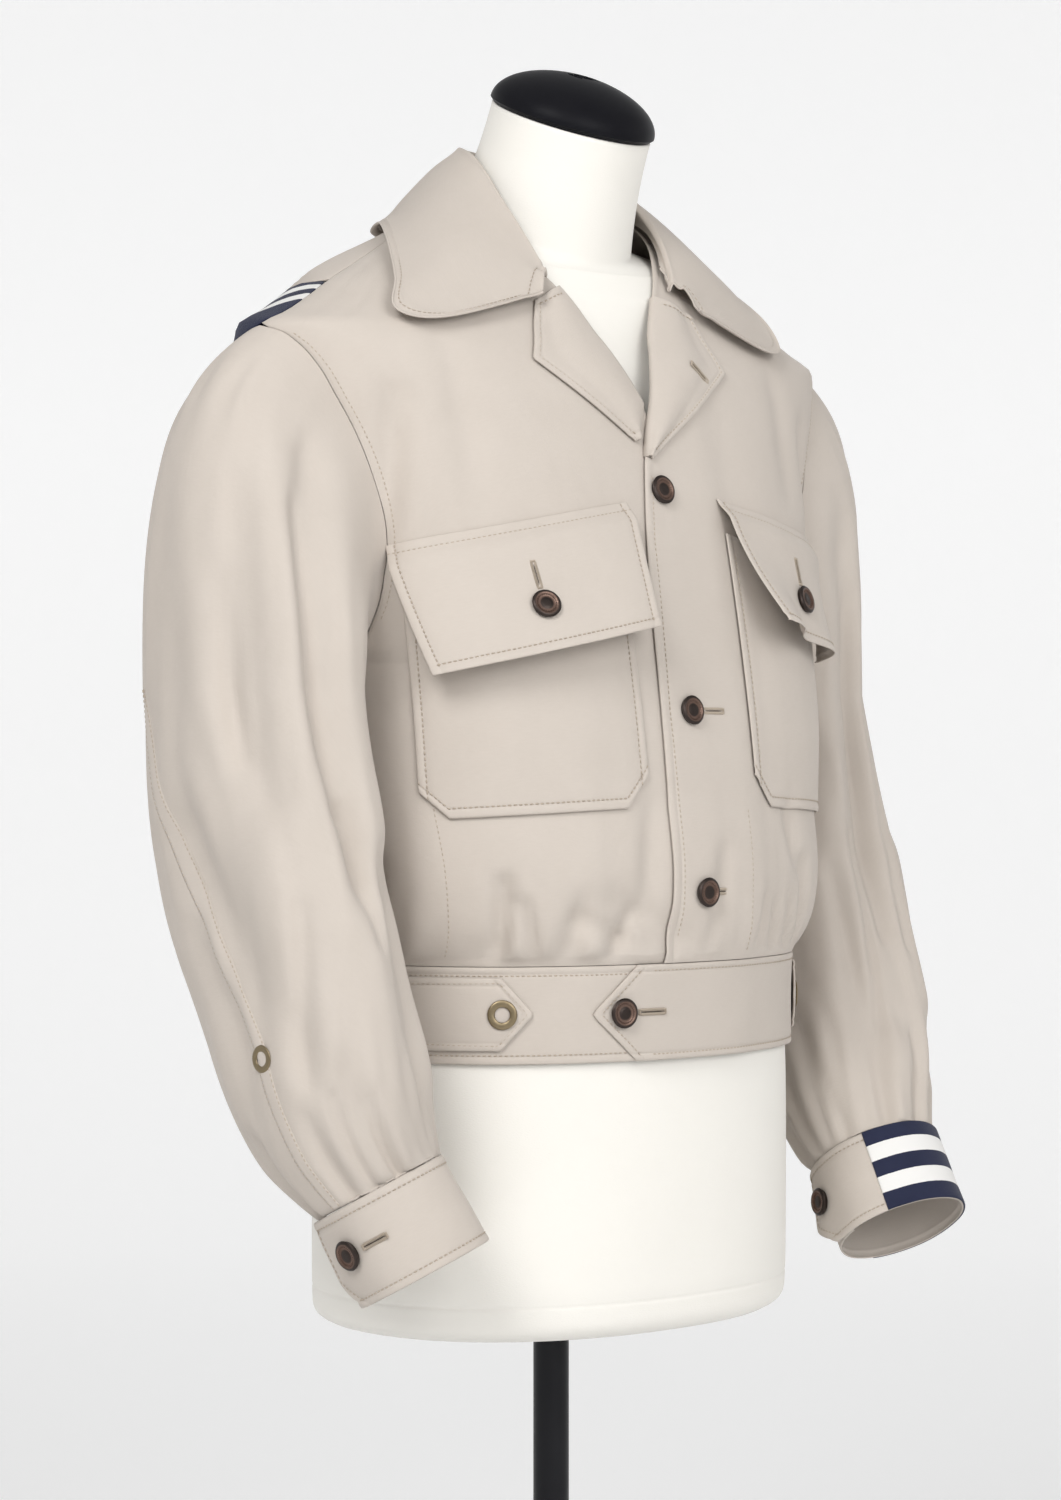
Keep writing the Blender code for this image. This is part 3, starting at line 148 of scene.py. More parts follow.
# Colours as linear light
COTTON = (0.490, 0.438, 0.388)
COTTON_PALE = (0.565, 0.511, 0.460)
THREAD = (0.430, 0.365, 0.295)
NAVY = (0.013, 0.016, 0.038)
WHITE = (0.740, 0.730, 0.710)
CREAM = (0.775, 0.752, 0.702)
BLACK = (0.006, 0.006, 0.008)
BRONZE = (0.045, 0.034, 0.030)
COPPER = (0.190, 0.122, 0.096)
BRASS = (0.240, 0.190, 0.115)
# Painted shade: the colour of the thin dark strip in each buttonhole's cut
PAINTED_SLIT_SHADE = (0.090, 0.075, 0.060)
TARNISH = (0.030, 0.022, 0.018)

# Studio and camera
CAMERA_PLACE = (-1.673, -1.858, 0.900)
CAMERA_TURN = -42.0
CAMERA_LENS = 85.7
CAMERA_SHIFT = -0.0137
FLOOR_RADIUS = 4.0
WALL_CURVE = 1.6
WALL_TOP = 2.4
# The paper's glow is painted light: its strength, the direction in which it grows, and its level on
# the far and near sides
PAPER_GLOW = 1.0
GLOW_SLOPE = (0.1338, 0.1486, 0.0)
GLOW_BEHIND = 0.33
GLOW_BEFORE = 0.06
KEY_PLACE = (-2.20, -1.05, 2.60)
FILL_PLACE = (-0.60, -2.80, 1.90)
LIGHT_TARGET = (0.0, 0.0, 0.95)
KEY_SIZE = 1.3
FILL_SIZE = 1.8
KEY_POWER = 45.0
FILL_POWER = 42.0
SKY_STRENGTH = 0.45
PAPER = 0.78

WALL = 0.0018
SEAM_GAP = 0.0003
LAYER = WALL + SEAM_GAP
CLEAR = 0.0008

# Heights of the jacket
BAND_BOTTOM = 0.694
BAND_TOP = 0.758
UNDERARM = 0.958
SHOULDER_TIP = 1.178
NECK_TOP = 1.281

# The body of the jacket, a row for each level: half width, depth in front of and behind
# the section's centre, the centre's y, and how square the section is (1 is an ellipse).
BODY_COLUMNS = ("z", "half_width", "front", "back", "centre_y", "roundness")
BODY_SECTIONS = (
    (0.694, 0.1800, 0.1425, 0.1330, 0.000, 0.90),
    (0.758, 0.1810, 0.1440, 0.1350, 0.000, 0.90),
    (0.768, 0.1860, 0.1480, 0.1410, 0.000, 0.88),
    (0.785, 0.1940, 0.1515, 0.1510, 0.000, 0.86),
    (0.815, 0.1990, 0.1520, 0.1560, 0.000, 0.84),
    (0.870, 0.1980, 0.1470, 0.1550, 0.002, 0.82),
    (0.926, 0.1990, 0.1410, 0.1530, 0.004, 0.80),
    (1.000, 0.2080, 0.1330, 0.1450, 0.009, 0.80),
    (1.067, 0.2220, 0.1240, 0.1390, 0.014, 0.80),
    (1.110, 0.2320, 0.1180, 0.1340, 0.018, 0.82),
    (1.150, 0.2460, 0.1060, 0.1300, 0.015, 0.88),
    (1.178, 0.2510, 0.0850, 0.1250, 0.006, 0.95),
    (1.190, 0.2290, 0.0795, 0.1200, 0.006, 0.97),
    (1.202, 0.2090, 0.0770, 0.1140, 0.008, 1.00),
    (1.214, 0.1900, 0.0740, 0.1070, 0.011, 1.00),
    (1.2255, 0.1690, 0.0705, 0.1000, 0.015, 1.00),
    (1.243, 0.1370, 0.0670, 0.0900, 0.022, 1.00),
    (1.258, 0.1120, 0.0650, 0.0770, 0.027, 1.00),
    (1.270, 0.0970, 0.0620, 0.0660, 0.031, 1.00),
    (1.281, 0.0830, 0.0590, 0.0560, 0.035, 1.00),
)

# Behind the shoulder seams the cloth rises this far to the ridge of the shoulders
RIDGE_RISE = 0.014

# The roll line and neckline: x of each front's inner edge from the break up to the neck
ROLL_COLUMNS = ("z", "right_x", "left_x")
ROLL_LINE = (
    (0.7583, 0.0220, -0.0290),
    (0.926, 0.0220, -0.0265),
    (1.040, 0.0220, -0.0200),
    (1.090, 0.0190, -0.0110),
    (1.112, 0.0100, -0.0040),
    (1.135, -0.0020, 0.0040),
    (1.166, -0.0200, 0.0140),
    (1.209, -0.0450, 0.0360),
    (1.232, -0.0600, 0.0540),
    (1.258, -0.0740, 0.0710),
    (1.281, -0.0815, 0.0815),
)

# The armhole, as the angle round the body from the front, before and behind the sleeve
ARMHOLE_COLUMNS = ("z", "front_angle", "back_angle")
ARMHOLE = (
    (0.958, 90.0, 90.5),
    (0.966, 80.0, 99.0),
    (0.985, 72.0, 106.0),
    (1.020, 65.0, 112.0),
    (1.060, 62.0, 116.0),
    (1.094, 62.5, 116.0),
    (1.130, 65.5, 112.0),
    (1.152, 68.5, 107.0),
    (1.166, 74.0, 102.0),
    (1.174, 81.0, 96.5),
    (1.178, 90.0, 90.5),
)

# The seam below the arm, where a front meets the striped strip
SEAM_COLUMNS = ("z", "angle")
SIDE_SEAM = (
    (0.7583, 109.0),
    (0.870, 105.0),
    (0.930, 99.0),
    (0.958, 90.5),
)

# The seam between the striped strip and the middle of the back
STRIP_INNER = (
    (0.7583, 134.0),
    (0.870, 132.0),
    (1.060, 131.5),
    (1.130, 135.5),
    (1.152, 135.5),
    (1.178, 133.5),
    (1.190, 124.0),
    (1.2010, 113.0),
    (1.2065, 105.0),
    (1.2120, 93.0),
)
STRIP_TOP = 1.2120

# Folds of the body: start and end as distance round from the centre front (left is
# positive) and height, how deep the trough is (a ridge is negative), and its half width.
BODY_FOLDS = (
    (-0.150, 0.762, -0.153, 0.812, 0.0055, 0.0070),
    (-0.105, 0.764, -0.098, 0.800, 0.0035, 0.0090),
    (0.128, 0.762, 0.124, 0.822, 0.0055, 0.0070),
    (0.090, 0.764, 0.084, 0.795, 0.0035, 0.0090),
    (-0.020, 0.775, -0.075, 0.800, 0.0035, 0.0120),
    (-0.050, 0.795, -0.040, 0.860, 0.0030, 0.0100),
    (-0.196, 1.130, -0.215, 1.030, 0.0040, 0.0120),
    (0.196, 1.130, 0.215, 1.030, 0.0040, 0.0120),
    (0.330, 0.764, 0.325, 0.820, 0.0050, 0.0080),
    (-0.330, 0.764, -0.325, 0.820, 0.0050, 0.0080),
    (0.420, 0.764, 0.424, 0.800, 0.0040, 0.0090),
    (-0.420, 0.764, -0.424, 0.806, 0.0040, 0.0090),
    (0.250, 0.764, 0.245, 0.830, 0.0045, 0.0110),
    (-0.250, 0.764, -0.247, 0.822, 0.0045, 0.0110),
)

# Sleeves, a row for each section below the armhole: the centre, the half width from
# the outer to the inner side, and the half depth from front to back.
SLEEVE_COLUMNS = ("x", "y", "z", "half_width", "half_depth")
SLEEVE_SECTIONS = {
    "right": (
        (-0.2660, -0.0020, 0.9400, 0.0560, 0.0960),
        (-0.2680, -0.0150, 0.8780, 0.0560, 0.0940),
        (-0.2680, -0.0350, 0.8100, 0.0560, 0.0900),
        (-0.2660, -0.0560, 0.7520, 0.0560, 0.0840),
        (-0.2590, -0.0720, 0.6960, 0.0560, 0.0740),
        (-0.2490, -0.0840, 0.6560, 0.0530, 0.0630),
        (-0.2410, -0.0910, 0.6370, 0.0470, 0.0530),
        (-0.2360, -0.0945, 0.6270, 0.0415, 0.0455),
    ),
    "left": (
        (0.2530, 0.0240, 0.9400, 0.0490, 0.0790),
        (0.2610, 0.0190, 0.8780, 0.0500, 0.0790),
        (0.2650, 0.0080, 0.8100, 0.0520, 0.0770),
        (0.2620, -0.0130, 0.7520, 0.0530, 0.0740),
        (0.2550, -0.0370, 0.6960, 0.0540, 0.0690),
        (0.2440, -0.0640, 0.6480, 0.0530, 0.0590),
        (0.2390, -0.0760, 0.6260, 0.0470, 0.0520),
        (0.2370, -0.0840, 0.6150, 0.0415, 0.0455),
    ),
}

# Folds of a sleeve: start and end as angle round it (0 outer, 90 front, 180 inner,
# 270 back) and share of its length, depth of the trough, and half width in degrees. The
# whole length counts as SLEEVE_FOLD_LENGTH degrees.
SLEEVE_FOLD_LENGTH = 300.0
SLEEVE_FOLDS = {
    "right": (
        (78, 0.10, 92, 0.62, 0.0100, 15),
        (34, 0.18, 40, 0.46, 0.0060, 13),
        (352, 0.50, 20, 0.76, 0.0060, 13),
        (58, 0.86, 66, 0.99, 0.0055, 9),
        (30, 0.90, 32, 0.99, 0.0045, 8),
        (120, 0.60, 128, 0.97, 0.0060, 13),
        (228, 0.14, 236, 0.60, 0.0080, 16),
        (262, 0.62, 250, 0.95, 0.0060, 12),
        (310, 0.16, 304, 0.42, 0.0050, 13),
    ),
    "left": (
        (88, 0.16, 96, 0.84, 0.0100, 17),
        (52, 0.20, 60, 0.50, 0.0050, 13),
        (128, 0.62, 122, 0.97, 0.0060, 13),
        (20, 0.55, 28, 0.80, 0.0050, 13),
        (55, 0.86, 62, 0.99, 0.0050, 9),
        (226, 0.16, 234, 0.62, 0.0080, 16),
        (262, 0.60, 252, 0.95, 0.0060, 12),
        (308, 0.18, 302, 0.44, 0.0050, 13),
    ),
}

# The collar's right half from the centre back to its front end: the neck seam, the
# roll line that shows as its top edge, and the outer edge as the body's angle, level
# and how far it stands off the body there.
COLLAR_COLUMNS = ("seam", "roll", "edge", "left_edge_angle")
COLLAR_STATIONS = (
    ((0.0000, 0.0895, 1.2817), (0.0000, 0.0740, 1.3260), (180.0, 1.2500, 0.0075), 180.0),
    ((-0.0350, 0.0840, 1.2817), (-0.0260, 0.0660, 1.3260), (158.0, 1.2510, 0.0075), 158.0),
    ((-0.0640, 0.0670, 1.2817), (-0.0460, 0.0440, 1.3220), (132.0, 1.2520, 0.0085), 132.0),
    ((-0.0800, 0.0420, 1.2817), (-0.0590, 0.0180, 1.3130), (102.0, 1.2540, 0.0085), 102.0),
    ((-0.0805, 0.0140, 1.2815), (-0.0665, -0.0060, 1.2970), (77.0, 1.2380, 0.0085), 76.0),
    ((-0.0780, -0.0060, 1.2735), (-0.0695, -0.0260, 1.2770), (57.0, 1.2070, 0.0085), 52.0),
    ((-0.0740, -0.0225, 1.2635), (-0.0685, -0.0410, 1.2590), (48.0, 1.1830, 0.0085), 40.0),
    ((-0.0675, -0.0375, 1.2485), (-0.0650, -0.0520, 1.2420), (37.0, 1.1800, 0.0095), 31.0),
    ((-0.0615, -0.0470, 1.2375), (-0.0605, -0.0605, 1.2260), (20.5, 1.2020, 0.0105), 20.0),
)

# The dress form, with the same columns as the body
FORM_SECTIONS = (
    (0.5100, 0.1655, 0.1260, 0.1240, 0.000, 0.90),
    (0.5140, 0.1730, 0.1325, 0.1305, 0.000, 0.90),
    (0.5260, 0.1770, 0.1370, 0.1345, 0.000, 0.90),
    (0.5600, 0.1775, 0.1380, 0.1345, 0.000, 0.90),
    (0.6300, 0.1775, 0.1385, 0.1330, 0.000, 0.90),
    (0.7300, 0.1745, 0.1360, 0.1265, 0.000, 0.90),
    (0.8400, 0.1600, 0.1220, 0.1150, 0.000, 0.90),
    (0.9200, 0.1600, 0.1180, 0.1180, 0.004, 0.88),
    (1.0000, 0.1700, 0.1160, 0.1230, 0.009, 0.86),
    (1.0700, 0.1830, 0.1080, 0.1220, 0.014, 0.86),
    (1.1200, 0.1900, 0.0980, 0.1160, 0.016, 0.90),
    (1.1600, 0.1920, 0.0850, 0.1080, 0.012, 0.95),
    (1.1800, 0.1900, 0.0740, 0.1020, 0.007, 1.00),
)
FORM_INSET = WALL + 0.0017
FORM_BOTTOM = FORM_SECTIONS[0][0]
FORM_SHOULDER_FROM = 1.212

# Height of the neck seam in front, at the sides and behind
FORM_NECKLINE = {"front": 1.2320, "side": 1.2620, "back": 1.2720}
NECK_RADIUS = 0.0570
NECK_SPREAD = 0.0080
NECK_BASE = (0.010, 1.2620)
NECK_CAP = (-0.021, 1.3370)
NECK_TILT = math.radians(23.0)
CAP_RADIUS = 0.0590
CAP_HEIGHT = 0.0290
CAP_FOOT = 0.0030
CAP_SOCKET_RADIUS = 0.0130
CAP_SOCKET_DEPTH = 0.0120
POLE_RADIUS = 0.0125
BASE_RADIUS = 0.1600
BASE_HEIGHT = 0.0180
HUB_RADIUS = 0.0230
HUB_HEIGHT = 0.0260
BUTTON_RADIUS = 0.0100
BUTTON_THICK = 0.0038
EYELET_THICK = 0.0012
CUFF_HEIGHT = 0.0620
CUFF_AXIS = {"right": (0.334, -0.436, -1.0), "left": (-0.134, -0.640, -1.0)}
CUFF_CENTRE = {"right": (-0.2335, -0.0965, 0.6215), "left": (0.2355, -0.0895, 0.6085)}
CUFF_HALF = (0.0435, 0.0475)
SIDES = {"right": -1.0, "left": 1.0}


@lru_cache(maxsize=None)
def curve_of(table, columns, name):
    """The keys, values and tangents of one column of a table."""
    keys = [row[0] for row in table]
    values = [row[columns.index(name)] for row in table]
    return tuple(keys), tuple(values), tangents_of(keys, values)


def tangents_of(keys, values):
    """Monotone tangents, so that no row overshoots its neighbours."""
    slopes = [
        (values[i + 1] - values[i]) / (keys[i + 1] - keys[i]) for i in range(len(keys) - 1)
    ]
    tangents = [slopes[0]]
    for before, after in zip(slopes, slopes[1:]):
        if before * after <= 0:
            tangents.append(0.0)
            continue
        limit = 3 * min(abs(before), abs(after))
        middle = (before + after) / 2
        tangents.append(math.copysign(min(abs(middle), limit), middle))
    tangents.append(slopes[-1])
    return tuple(tangents)


def read_column(table, columns, name, at):
    """The named column of a table, read smoothly at a value of its first column."""
    return smooth_read(*curve_of(table, columns, name), at)


def smooth_read(keys, values, tangents, at):
    at = min(max(at, keys[0]), keys[-1])
    index = min(max(bisect_left(keys, at) - 1, 0), len(keys) - 2)
    step = keys[index + 1] - keys[index]
    t = (at - keys[index]) / step
    return (
        values[index] * (2 * t**3 - 3 * t**2 + 1)
        + tangents[index] * step * (t**3 - 2 * t**2 + t)
        + values[index + 1] * (3 * t**2 - 2 * t**3)
        + tangents[index + 1] * step * (t**3 - t**2)
    )


def ease(value, low, high):
    """0 at low, 1 at high, with soft ends; low may be the larger."""
    t = min(max((value - low) / (high - low), 0.0), 1.0)
    return t * t * (3 - 2 * t)


@lru_cache(maxsize=None)
def section_row(table, z):
    return [read_column(table, BODY_COLUMNS, name, z) for name in BODY_COLUMNS[1:]]


def on_section(row, angle):
    """x and y on a section, at an angle in degrees from the front towards the left."""
    half_width, front, back, centre_y, roundness = row
    across, ahead = math.sin(math.radians(angle)), math.cos(math.radians(angle))
    x = half_width * math.copysign(abs(across) ** roundness, across)
    depth = front if ahead > 0 else back
    return x, centre_y - depth * math.copysign(abs(ahead) ** roundness, ahead)


def ridge_rise(angle, z):
    """How far the back of the shoulder lies above its own level, full at 135 degrees."""
    turn = abs((angle + 180.0) % 360.0 - 180.0)
    if turn <= 90.0:
        return 0.0
    around = math.sin(math.radians(2 * (turn - 90.0)))
    return RIDGE_RISE * around * ease(z, 1.150, 1.215) * ease(z, 1.270, 1.215)


def body_point(angle, z):
    x, y = on_section(section_row(BODY_SECTIONS, z), angle)
    return Vector((x, y, z + ridge_rise(angle, z)))


# Up to this height the cloth is laid on level, so that no layer reaches into the band
LEVEL_HEM_TOP = 0.790


def body_normal(angle, z):
    """The direction straight out of the body's surface."""
    low, high = max(z - 0.004, BAND_BOTTOM), min(z + 0.004, NECK_TOP)
    around = body_point(angle + 1.5, z) - body_point(angle - 1.5, z)
    upward = body_point(angle, high) - body_point(angle, low)
    normal = around.cross(upward)
    normal.z *= ease(z, BAND_TOP, LEVEL_HEM_TOP)
    return normal.normalized()


ANGLE_STEPS = np.linspace(0.0, 180.0, 91)
ARCS = {}


def arcs_at(z):
    """Distance round the section from the centre front, at each of ANGLE_STEPS."""
    key = round(z, 4)
    if key not in ARCS:
        row = section_row(BODY_SECTIONS, z)
        points = np.array([on_section(row, a) for a in ANGLE_STEPS])
        lengths = np.hypot(*np.diff(points, axis=0).T)
        ARCS[key] = np.concatenate([[0.0], np.cumsum(lengths)])
    return ARCS[key]


def angle_at_arc(arc, z):
    return math.copysign(float(np.interp(abs(arc), arcs_at(z), ANGLE_STEPS)), arc)


def arc_at_angle(angle, z):
    angle = (angle + 180.0) % 360.0 - 180.0
    return math.copysign(float(np.interp(abs(angle), ANGLE_STEPS, arcs_at(z))), angle)


def angle_at_x(x, z):
    """The angle on the front half whose point has this x."""
    half_width, _, _, _, roundness = section_row(BODY_SECTIONS, z)
    share = min(abs(x) / half_width, 1.0) ** (1 / roundness)
    return math.copysign(math.degrees(math.asin(share)), x)


def signed_turn(angle):
    """An angle brought to between -180 and 180 degrees."""
    return (angle + 180.0) % 360.0 - 180.0


def trough(folds, first, second, second_size=1.0, turns=False):
    """How far all the folds pull the surface in at one place.

    second_size brings the second coordinate to the unit of the first, and turns says
    that the first one is an angle.
    """
    total = 0.0
    for start_a, start_b, end_a, end_b, depth, width in folds:
        reach = 2.6 * width / second_size
        if second < min(start_b, end_b) - reach or second > max(start_b, end_b) + reach:
            continue
        run_a, off_a = end_a - start_a, first - start_a
        if turns:
            run_a, off_a = signed_turn(run_a), signed_turn(off_a)
        run_b, off_b = (end_b - start_b) * second_size, (second - start_b) * second_size
        near = (off_a * run_a + off_b * run_b) / (run_a**2 + run_b**2)
        near = min(max(near, 0.0), 1.0)
        distance = math.hypot(off_a - near * run_a, off_b - near * run_b) / width
        if distance > 2.6:
            continue
        taper = 0.35 + 0.65 * math.sin(math.pi * (0.15 + 0.7 * near))
        total += depth * taper * math.exp(-distance * distance)
    return total


def overlap_lift(arc, z):
    """The left front lies over the right one and comes down beside it."""
    return (LAYER + CLEAR) * ease(arc, 0.075, 0.040) * ease(z, 1.215, 1.150)


def panel_point(angle, z, lift=0.0):
    """A point of the body's outer cloth, moved out by lift."""
    arc = arc_at_angle(angle, z)
    amount = cloth_lift(arc, z) + lift
    return body_point(angle, z) + body_normal(angle, z) * amount


def front_point(side, arc, z, lift=0.0):
    """A point of one front, by its distance round from the centre front."""
    over = overlap_lift(arc, z) if side == "left" else 0.0
    return panel_point(angle_at_arc(arc, z), z, over + lift)


def front_outer_angle(z):
    """Where a front ends: the seam below the arm, the armhole, then the shoulder seam."""
    if z < UNDERARM:
        return read_column(SIDE_SEAM, SEAM_COLUMNS, "angle", z)
    if z < SHOULDER_TIP:
        return read_column(ARMHOLE, ARMHOLE_COLUMNS, "front_angle", z)
    return 90.0


def strip_outer_angle(z):
    """The strip's outer edge, which follows the same seams from behind."""
    if z < UNDERARM:
        return read_column(SIDE_SEAM, SEAM_COLUMNS, "angle", z)
    if z < SHOULDER_TIP:
        return read_column(ARMHOLE, ARMHOLE_COLUMNS, "back_angle", z)
    return 90.5


def strip_inner_angle(z):
    """The seam between the striped strip and the middle of the back."""
    return read_column(STRIP_INNER, SEAM_COLUMNS, "angle", z)


def roll_x(side, z):
    """x of a front's inner edge."""
    return read_column(ROLL_LINE, ROLL_COLUMNS, side + "_x", z)


def seam_step(z):
    """The angle that a seam gap takes at a level."""
    return SEAM_GAP / max(float(arcs_at(z)[-1]), 1e-6) * 180.0


# Waistband: where its under end starts and its pointed end stops, as distances round
# from the centre front; the pointed end lies on top, on the wearer's right.
BAND_UNDER_END = 0.030
BAND_POINT = -0.083
BAND_SHOULDER = -0.050


def band_point(arc, z, lift=0.0):
    """A point of the waistband's outer face; arc runs from the under end, all round."""
    row = section_row(BODY_SECTIONS, z)
    half = float(arcs_at(z)[-1])
    turned = (arc + half) % (2 * half) - half
    angle = angle_at_arc(turned, z)
    x, y = on_section(row, angle)
    ahead, behind = on_section(row, angle + 1.0), on_section(row, angle - 1.0)
    normal = Vector((-(behind[1] - ahead[1]), behind[0] - ahead[0], 0.0)).normalized()
    outward = Vector((x, y, 0.0))
    if normal.dot(outward) < 0:
        normal = -normal
    return Vector((x, y, z)) + normal * lift


# Side adjuster tabs on the band: distance round of the point and of the back end
TAB_POINT = {"right": -0.124, "left": 0.150}
TAB_LENGTH = 0.120
TAB_TIP = 0.021
TAB_HEIGHT = 0.0480
TAB_MIDDLE = 0.7270
TAB_EYELET_IN = 0.0200

# Chest pockets, by distance round from the centre front and height
POCKET_INNER = {"right": 0.043, "left": 0.057}
POCKET_OUTER = {"right": 0.204, "left": 0.206}
POCKET_BOTTOM = 0.862
POCKET_TOP = 1.048
POCKET_BOTTOM_FALL = 0.008
POCKET_TOP_FALL = 0.032
POCKET_CHAMFER = (0.019, 0.021)
POCKET_LIFT = LAYER + CLEAR
FLAP_INNER = {"right": 0.032, "left": 0.054}
FLAP_OUTER = {"right": 0.214, "left": 0.206}
FLAP_TOP_INNER = {"right": 1.0660, "left": 1.0720}
FLAP_TOP_OUTER = {"right": 1.0330, "left": 1.0480}
FLAP_DROP = 0.0860
FLAP_LIFT = 0.0090
FLAP_SEAM_SHARE = 0.18
FLAP_STAND = {"right": 0.024, "left": 0.030}


def pocket_bulge(u, v):
    """Patch pockets belly out a little in their lower middle."""
    return 0.0035 * math.sin(math.pi * u) * math.sin(math.pi * min(v * 1.2, 1.0))


def flap_point(side, u, v, lift=0.0):
    """u runs from the centre front outwards, v from the top seam down."""
    sign = SIDES[side]
    inner, outer = FLAP_INNER[side], FLAP_OUTER[side]
    drawn_in = 0.020 * v * u
    arc = inner + (outer - inner) * u - drawn_in
    top = FLAP_TOP_INNER[side] + (FLAP_TOP_OUTER[side] - FLAP_TOP_INNER[side]) * u
    z = top - FLAP_DROP * v
    wave = 0.0
    if side == "left":
        wave = 0.006 * math.sin(2 * math.pi * (u * 1.5 + 0.1)) * v * v
    settle = 1.0 - (0.92 * u if side == "left" else 0.0)
    stand = FLAP_STAND[side] * settle * v**1.6 + wave
    rise = LAYER + (FLAP_LIFT - LAYER) * ease(v, 0.0, FLAP_SEAM_SHARE)
    base = front_point(side, sign * arc, z, rise + lift)
    return base + flap_out(side) * stand


def flap_out(side):
    """The flap swings out as one piece, so all of it moves in one direction."""
    return Vector((SIDES[side] * 0.42, -0.90, 0.02)).normalized()


# Lapels, in x and z on the chest: the outer outline from the break to the notch
LAPEL_START = {"right": 1.110, "left": 1.098}
LAPEL_TOP = 1.214
LAPEL_TIP = {"right": (-0.0920, 1.1600), "left": (0.0880, 1.1620)}
LAPEL_NOTCH = {"right": (-0.0740, 1.2020), "left": (0.0720, 1.2030)}
LAPEL_TIP_AT = 0.62
LAPEL_BESIDE = 0.006


def lapel_point(side, u, v, lift=0.0):
    """u runs from the roll line to the outer edge, v from the break up."""
    sign = SIDES[side]
    z_roll = LAPEL_START[side] + (LAPEL_TOP - LAPEL_START[side]) * v
    z_first = LAPEL_START[side] - 0.002
    x_roll = roll_x(side, z_roll)
    if side == "right":
        x_roll = min(x_roll, roll_x("left", z_roll) - LAPEL_BESIDE)
    if v < LAPEL_TIP_AT:
        share = v / LAPEL_TIP_AT
        start = roll_x(side, LAPEL_START[side])
        if side == "right":
            start = min(start, roll_x("left", z_first) - LAPEL_BESIDE)
        begin = (start + sign * 0.004, z_first)
        goal = LAPEL_TIP[side]
    else:
        share = (v - LAPEL_TIP_AT) / (1 - LAPEL_TIP_AT)
        begin, goal = LAPEL_TIP[side], LAPEL_NOTCH[side]
    x_edge = begin[0] + (goal[0] - begin[0]) * share
    z_edge = begin[1] + (goal[1] - begin[1]) * share
    x, z = x_roll + (x_edge - x_roll) * u, z_roll + (z_edge - z_roll) * u
    over = overlap_lift(sign * abs(x), z) if side == "left" else 0.0
    swell = 0.0030 * math.sin(math.pi * min(u * 1.4, 1.0)) + 0.0010 * u
    angle = angle_at_x(x, z)
    return panel_point(angle, z, over + LAYER + swell + lift)


def through(points, t):
    """A smooth curve through a few points, at t from 0 to 1."""
    spans = len(points) - 1
    index = min(int(t * spans), spans - 1)
    share = t * spans - index
    before = points[index - 1] if index else points[0] * 2 - points[1]
    after = points[index + 2] if index < spans - 1 else points[-1] * 2 - points[-2]
    here, there = points[index], points[index + 1]
    return 0.5 * (
        here * 2
        + (there - before) * share
        + (before * 2 - here * 5 + there * 4 - after) * share**2
        + (here * 3 - before - there * 3 + after) * share**3
    )


@lru_cache(maxsize=None)
def collar_stations(which, left):
    """The points of one of the collar's three lines on one side."""
    column = COLLAR_COLUMNS.index(which)
    points = [Vector(row[column]) for row in COLLAR_STATIONS]
    if which == "edge":
        angles = [row[-1] if left else row[column][0] for row in COLLAR_STATIONS]
        points = [panel_point(-turn, at.y, at.z) for turn, at in zip(angles, points)]
    return points


@lru_cache(maxsize=None)
def collar_curve(which, u):
    """One of the collar's three lines, u from the right end round the back to the left."""
    at = through(collar_stations(which, u > 0.5), abs(2 * u - 1))
    if u > 0.5:
        at.x = -at.x
    return at


def collar_point(u, v):
    """v runs from the neck seam up to the roll line and down to the outer edge."""
    seam, roll, edge = (collar_curve(which, u) for which in COLLAR_COLUMNS[:3])
    out = edge - roll
    out.z = 0.0
    out.normalize()
    up = Vector((0.0, 0.0, 1.0))
    half_fall = (roll + edge) / 2
    points = [
        seam,
        seam.lerp(roll, 0.45) - out * 0.0005,
        roll - out * 0.0030 - up * 0.0050,
        roll - out * 0.0002,
        roll + out * 0.0042 - up * 0.0035,
        roll.lerp(half_fall, 0.55) + out * 0.0030 + up * 0.0015,
        half_fall.lerp(edge, 0.25) + out * 0.0015 + up * 0.0010,
        half_fall.lerp(edge, 0.65),
        edge,
    ]
    return through(points, v)


ARMHOLE_LEVELS = (UNDERARM, 1.002, 1.046, 1.090, 1.130, 1.155, 1.170, SHOULDER_TIP)


@lru_cache(maxsize=None)
def armhole_rim(side):
    """The panels' own points round the armhole: down the front, then up the back."""
    count = (len(ARMHOLE_LEVELS) - 1) * 6
    shares = [i * (len(ARMHOLE_LEVELS) - 1) / count for i in range(count + 1)]
    heights = [float(np.interp(s, range(len(ARMHOLE_LEVELS)), ARMHOLE_LEVELS)) for s in shares]
    rim = []
    for column, levels in (("front_angle", heights[::-1]), ("back_angle", heights)):
        for z in levels[:-1]:
            angle = read_column(ARMHOLE, ARMHOLE_COLUMNS, column, z)
            rim.append(panel_point(SIDES[side] * angle, z))
    return rim


def armhole_point(side, turn):
    """The armhole's rim at a turn of the sleeve: 0 shoulder, 90 front, 180 underarm."""
    rim = armhole_rim(side)
    at = (turn % 360.0) / 360.0 * len(rim)
    index = int(at)
    return rim[index % len(rim)].lerp(rim[(index + 1) % len(rim)], at - index)


SLEEVE_CAP_SHARE = 0.30
SLEEVE_ROUND = 0.94
SLEEVE_CUFF_FROM = 0.93
SLEEVE_CAP_REACH = {"right": 0.34, "left": 0.26}


def square_to(side, axis):
    """The outer and front directions of a ring round this axis."""
    front = Vector((0.0, -1.0, 0.0))
    front = (front - axis * front.dot(axis)).normalized()
    outer = Vector((SIDES[side], 0.0, 0.0))
    outer = (outer - axis * outer.dot(axis) - front * outer.dot(front)).normalized()
    return outer, front


